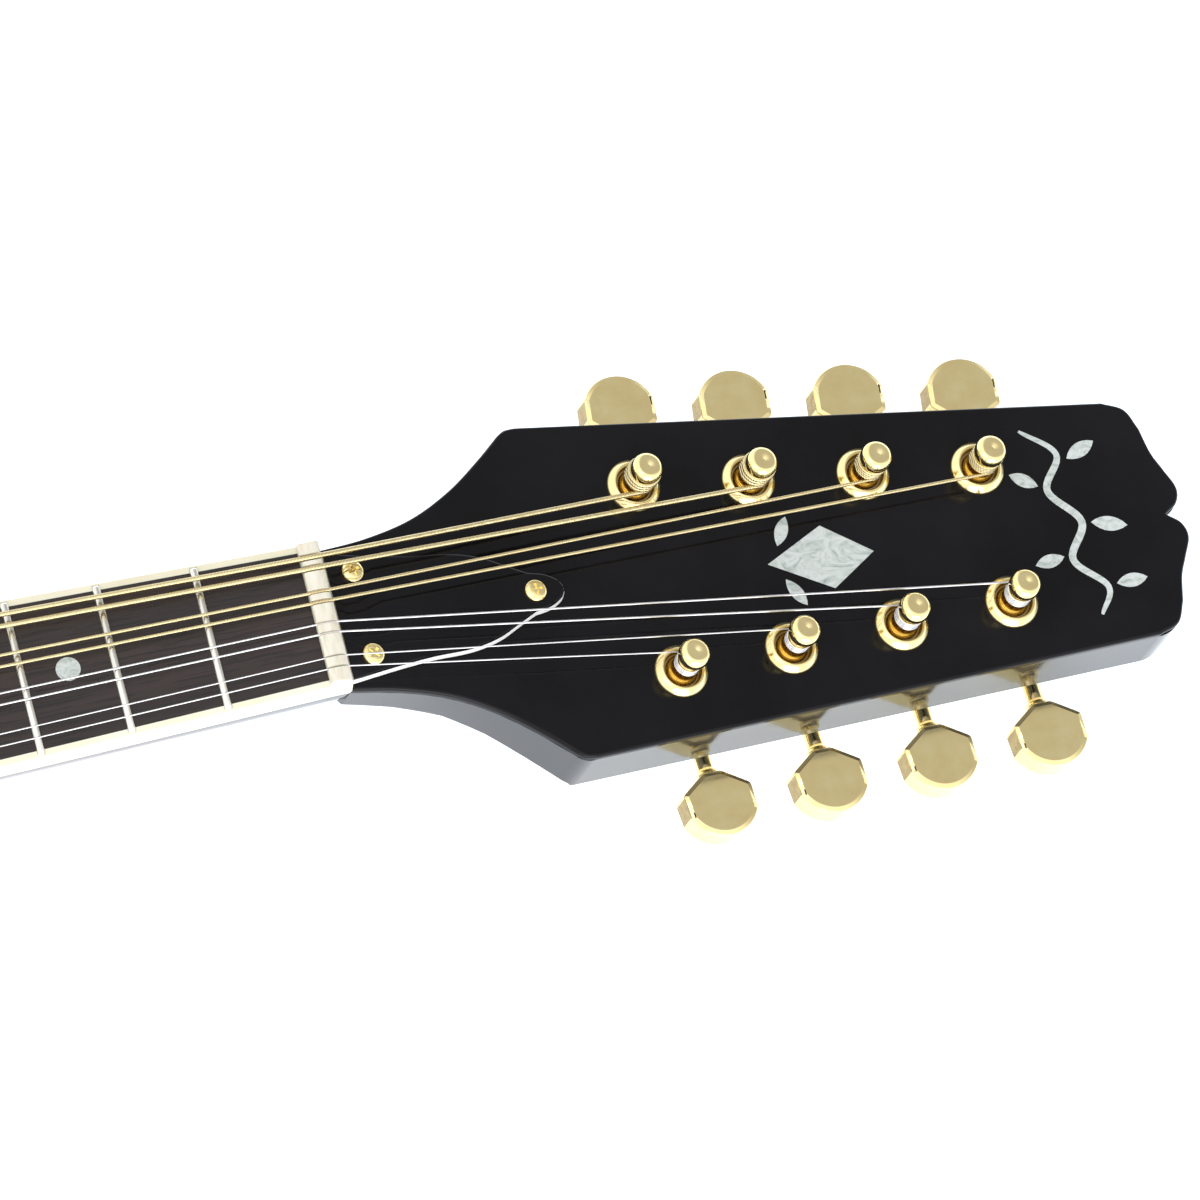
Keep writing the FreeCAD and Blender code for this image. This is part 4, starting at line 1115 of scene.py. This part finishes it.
def pressed(depth, y):
    """How far the dies push the top down, at a depth from the back and a distance off centre."""
    side = min(cap_half - abs(y), depth, cap_length - depth)
    line = 0.32 * max(0.0, 1 - abs(side - 5.6) / 0.55)
    panel = max(0.0, min(1.0, (side - 8.2) / 1.2))
    return line + 0.3 * panel * (0.5 - 0.5 * math.cos(2 * math.pi * y / REED_PITCH))


def cap_section(depth, sheet):
    """One cross section at that depth from the back, moved in by the sheet's thickness."""
    short = max(0.0, COVER_ROLL - depth)
    tuck = COVER_ROLL - math.sqrt(COVER_ROLL ** 2 - short ** 2) + sheet
    half, top = cap_half - tuck, cap_high.z - tuck
    corner = max(COVER_ROLL - sheet, 0.8)
    right = [(half, cap_low.z), (half, cap_low.z + 3), (half, top - corner)]
    right += arc_points((half - corner, top - corner), corner, 0, 90, 6)[1:]
    across = [half - corner - (half - corner) * 2 * i / 120 for i in range(1, 120)]
    flat = [(y, top - (0 if sheet else pressed(depth, y))) for y in across]
    ring = right + flat + [(-y, z) for y, z in reversed(right)]
    bow = [1 - FRONT_BOW / cap_length * (1 - math.cos(math.pi / 2 * y / cap_half)) for y, z in ring]
    return [(cap_low.x + depth * share, y, z) for share, (y, z) in zip(bow, ring)]


def cap_rim(outer, inner, count):
    """Faces that join the outside to the inside along the open front and the bottom edges."""
    base = outer * count
    front_out, front_in = base - count, base + (inner - 1) * count
    faces = [(front_out + k + 1, front_out + k, front_in + k, front_in + k + 1) for k in range(count - 1)]
    lag = outer - inner
    for edge in (0, count - 1):
        for i in range(outer - 1):
            near, far = max(0, i - lag), max(0, i + 1 - lag)
            rows = (i * count, (i + 1) * count, base + far * count, base + near * count)
            face = tuple(dict.fromkeys(row + edge for row in rows))
            faces.append(face[::-1] if edge == 0 else face)
    faces.append((count - 1, base + count - 1, base, 0))
    return faces


def cap_shape():
    """Outside grid, inside grid and the rim between them."""
    depths = [0.0, 0.1, 0.35, 0.8, 1.4, 2.1] + [3.0 + (cap_length - 3.0) * i / 60 for i in range(61)]
    outside = [cap_section(depth, 0) for depth in depths]
    inner_depths = [COVER_SHEET] + [depth for depth in depths if depth > COVER_SHEET]
    inside = [cap_section(depth, COVER_SHEET) for depth in inner_depths]
    count, points, faces = len(outside[0]), [], []
    for grid in (outside, inside):
        start = len(points)
        points += [p for section in grid for p in section]
        skin_faces = [tuple(range(start, start + count))]
        for a in range(start, start + (len(grid) - 1) * count, count):
            skin_faces += [(a + k, a + k + count, a + k + count + 1, a + k + 1) for k in range(count - 1)]
        faces += skin_faces if grid is outside else [face[::-1] for face in skin_faces]
    return flipped((points, faces + cap_rim(len(outside), len(inside), count)))


cap_piece = add_piece("pressed_cover", cap_shape(), BODY, [gold], "tail_cover", ["tailpiece_cover"])
smooth(cap_piece, 40)
print("cover", round(cap_length, 1), "mm long,", len(cap_piece.data.polygons), "faces")

# %% [markdown]
# ## Eased edges on the parts that keep their shape
# Machined and sawn parts never have knife edges. A bevel modifier gives each a hair of
# rounding, and the light picks it out. It changes nothing in the frame itself.

# %% Ease the frame's own parts
for name, width in (("fingerboard_binding", 0.3), ("bridge_base", 0.35), ("tailpiece", 0.2)):
    ease_edges(nodes[name], width, 2, 50)
    print("eased", name, "by", width, "mm")

# %% [markdown]
# ## Studio
# The mandolin lies on its back on a light table: white acrylic lit from below, which swallows
# the shadows and puts a pale line along every dark side. A broad even light comes from all
# round, with one darker patch high over the headstock's tip. Photographers call it a flag,
# and it keeps the black face black. A low soft box on the treble side adds the highlights.

# %% Table, sky and lamps
TABLE = 6.0
GAP = -0.0002
corners = [(-TABLE, -TABLE, GAP), (TABLE, -TABLE, GAP), (TABLE, TABLE, GAP), (-TABLE, TABLE, GAP)]
table = on_bench("table", (corners, [(0, 1, 2, 3)]), METRES)
acrylic = Finish("lit_acrylic", Roughness=0.9, Emission_Color=(0.80, 0.93, 1.08, 1), Emission_Strength=0.7)
acrylic.pattern(acrylic.noise(3, 2), tones((0.83, 0.83, 0.83), (0.86, 0.86, 0.86)))
table.data.materials.append(acrylic.material)

FLAG_WAY = (0.75, 0.55, 0.45)
FLAG_EDGE = (0.50, 0.84)
BRIGHT, FLAGGED = 1.35, 0.60
world = bpy.data.worlds.new("studio")
bpy.context.scene.world = world
world.use_nodes = True
sky = Wiring(world.node_tree)
where = sky.node("ShaderNodeTexCoord").outputs["Generated"]
toward = {0: where, 1: Vector(FLAG_WAY).normalized()}
aim = sky.node("ShaderNodeVectorMath", toward, operation="DOT_PRODUCT").outputs["Value"]
flag = sky.span(aim, *FLAG_EDGE, BRIGHT, FLAGGED, interpolation_type="SMOOTHSTEP")
glow = sky.node("ShaderNodeBackground", {"Color": (0.99, 0.99, 1.0, 1), "Strength": flag})
sky.node("ShaderNodeOutputWorld", {"Surface": glow.outputs["Background"]})


def lamp(name, place, target, size, power):
    """Square soft box at place, aimed at target."""
    light = bpy.data.lights.new(name, "AREA")
    light.size = size
    light.energy = power
    obj = bpy.data.objects.new(name, light)
    obj.location = place
    obj.rotation_mode = "QUATERNION"
    obj.rotation_quaternion = (Vector(target) - Vector(place)).to_track_quat("-Z", "Y")
    bpy.context.scene.collection.objects.link(obj)
    return obj


lamp("treble_lamp", (0.45, -1.5, 0.45), (0.45, 0, 0.06), 1.3, 14)
lamp("top_lamp", (-0.3, -0.5, 1.6), (0.42, 0, 0.05), 1.2, 4)
print("studio ready")

# %% [markdown]
# ## Camera
# A long lens from far away keeps the parallel lines of the neck nearly parallel. The camera
# looks steeply down from the treble side, and is rolled a little so the neck climbs.

# %% Camera
AIM = Vector((406.05, -7.11, 62.0)) * MM
AZIMUTH, ELEVATION, ROLL = (math.radians(degrees) for degrees in (-18.82, 70.755, 5.457))
DISTANCE = 9.303
camera_data = bpy.data.cameras.new("camera")
camera_data.lens = 1488.8
camera_data.sensor_width = 36
camera_data.clip_end = 100
camera = bpy.data.objects.new("camera", camera_data)
bpy.context.scene.collection.objects.link(camera)
level = math.cos(ELEVATION)
back = Vector((math.sin(AZIMUTH) * level, -math.cos(AZIMUTH) * level, math.sin(ELEVATION)))
right = Vector((0, 0, 1)).cross(back).normalized()
right = right * math.cos(ROLL) + back.cross(right) * math.sin(ROLL)
turn = Matrix((right, back.cross(right), back)).transposed().to_4x4()
camera.matrix_world = Matrix.Translation(AIM + back * DISTANCE) @ turn
bpy.context.scene.camera = camera
bpy.context.scene.view_settings.view_transform = "Standard"
print("camera", DISTANCE, "m away")

# %% [markdown]
# ## The size
# The visual model has to be the size that the frame says.
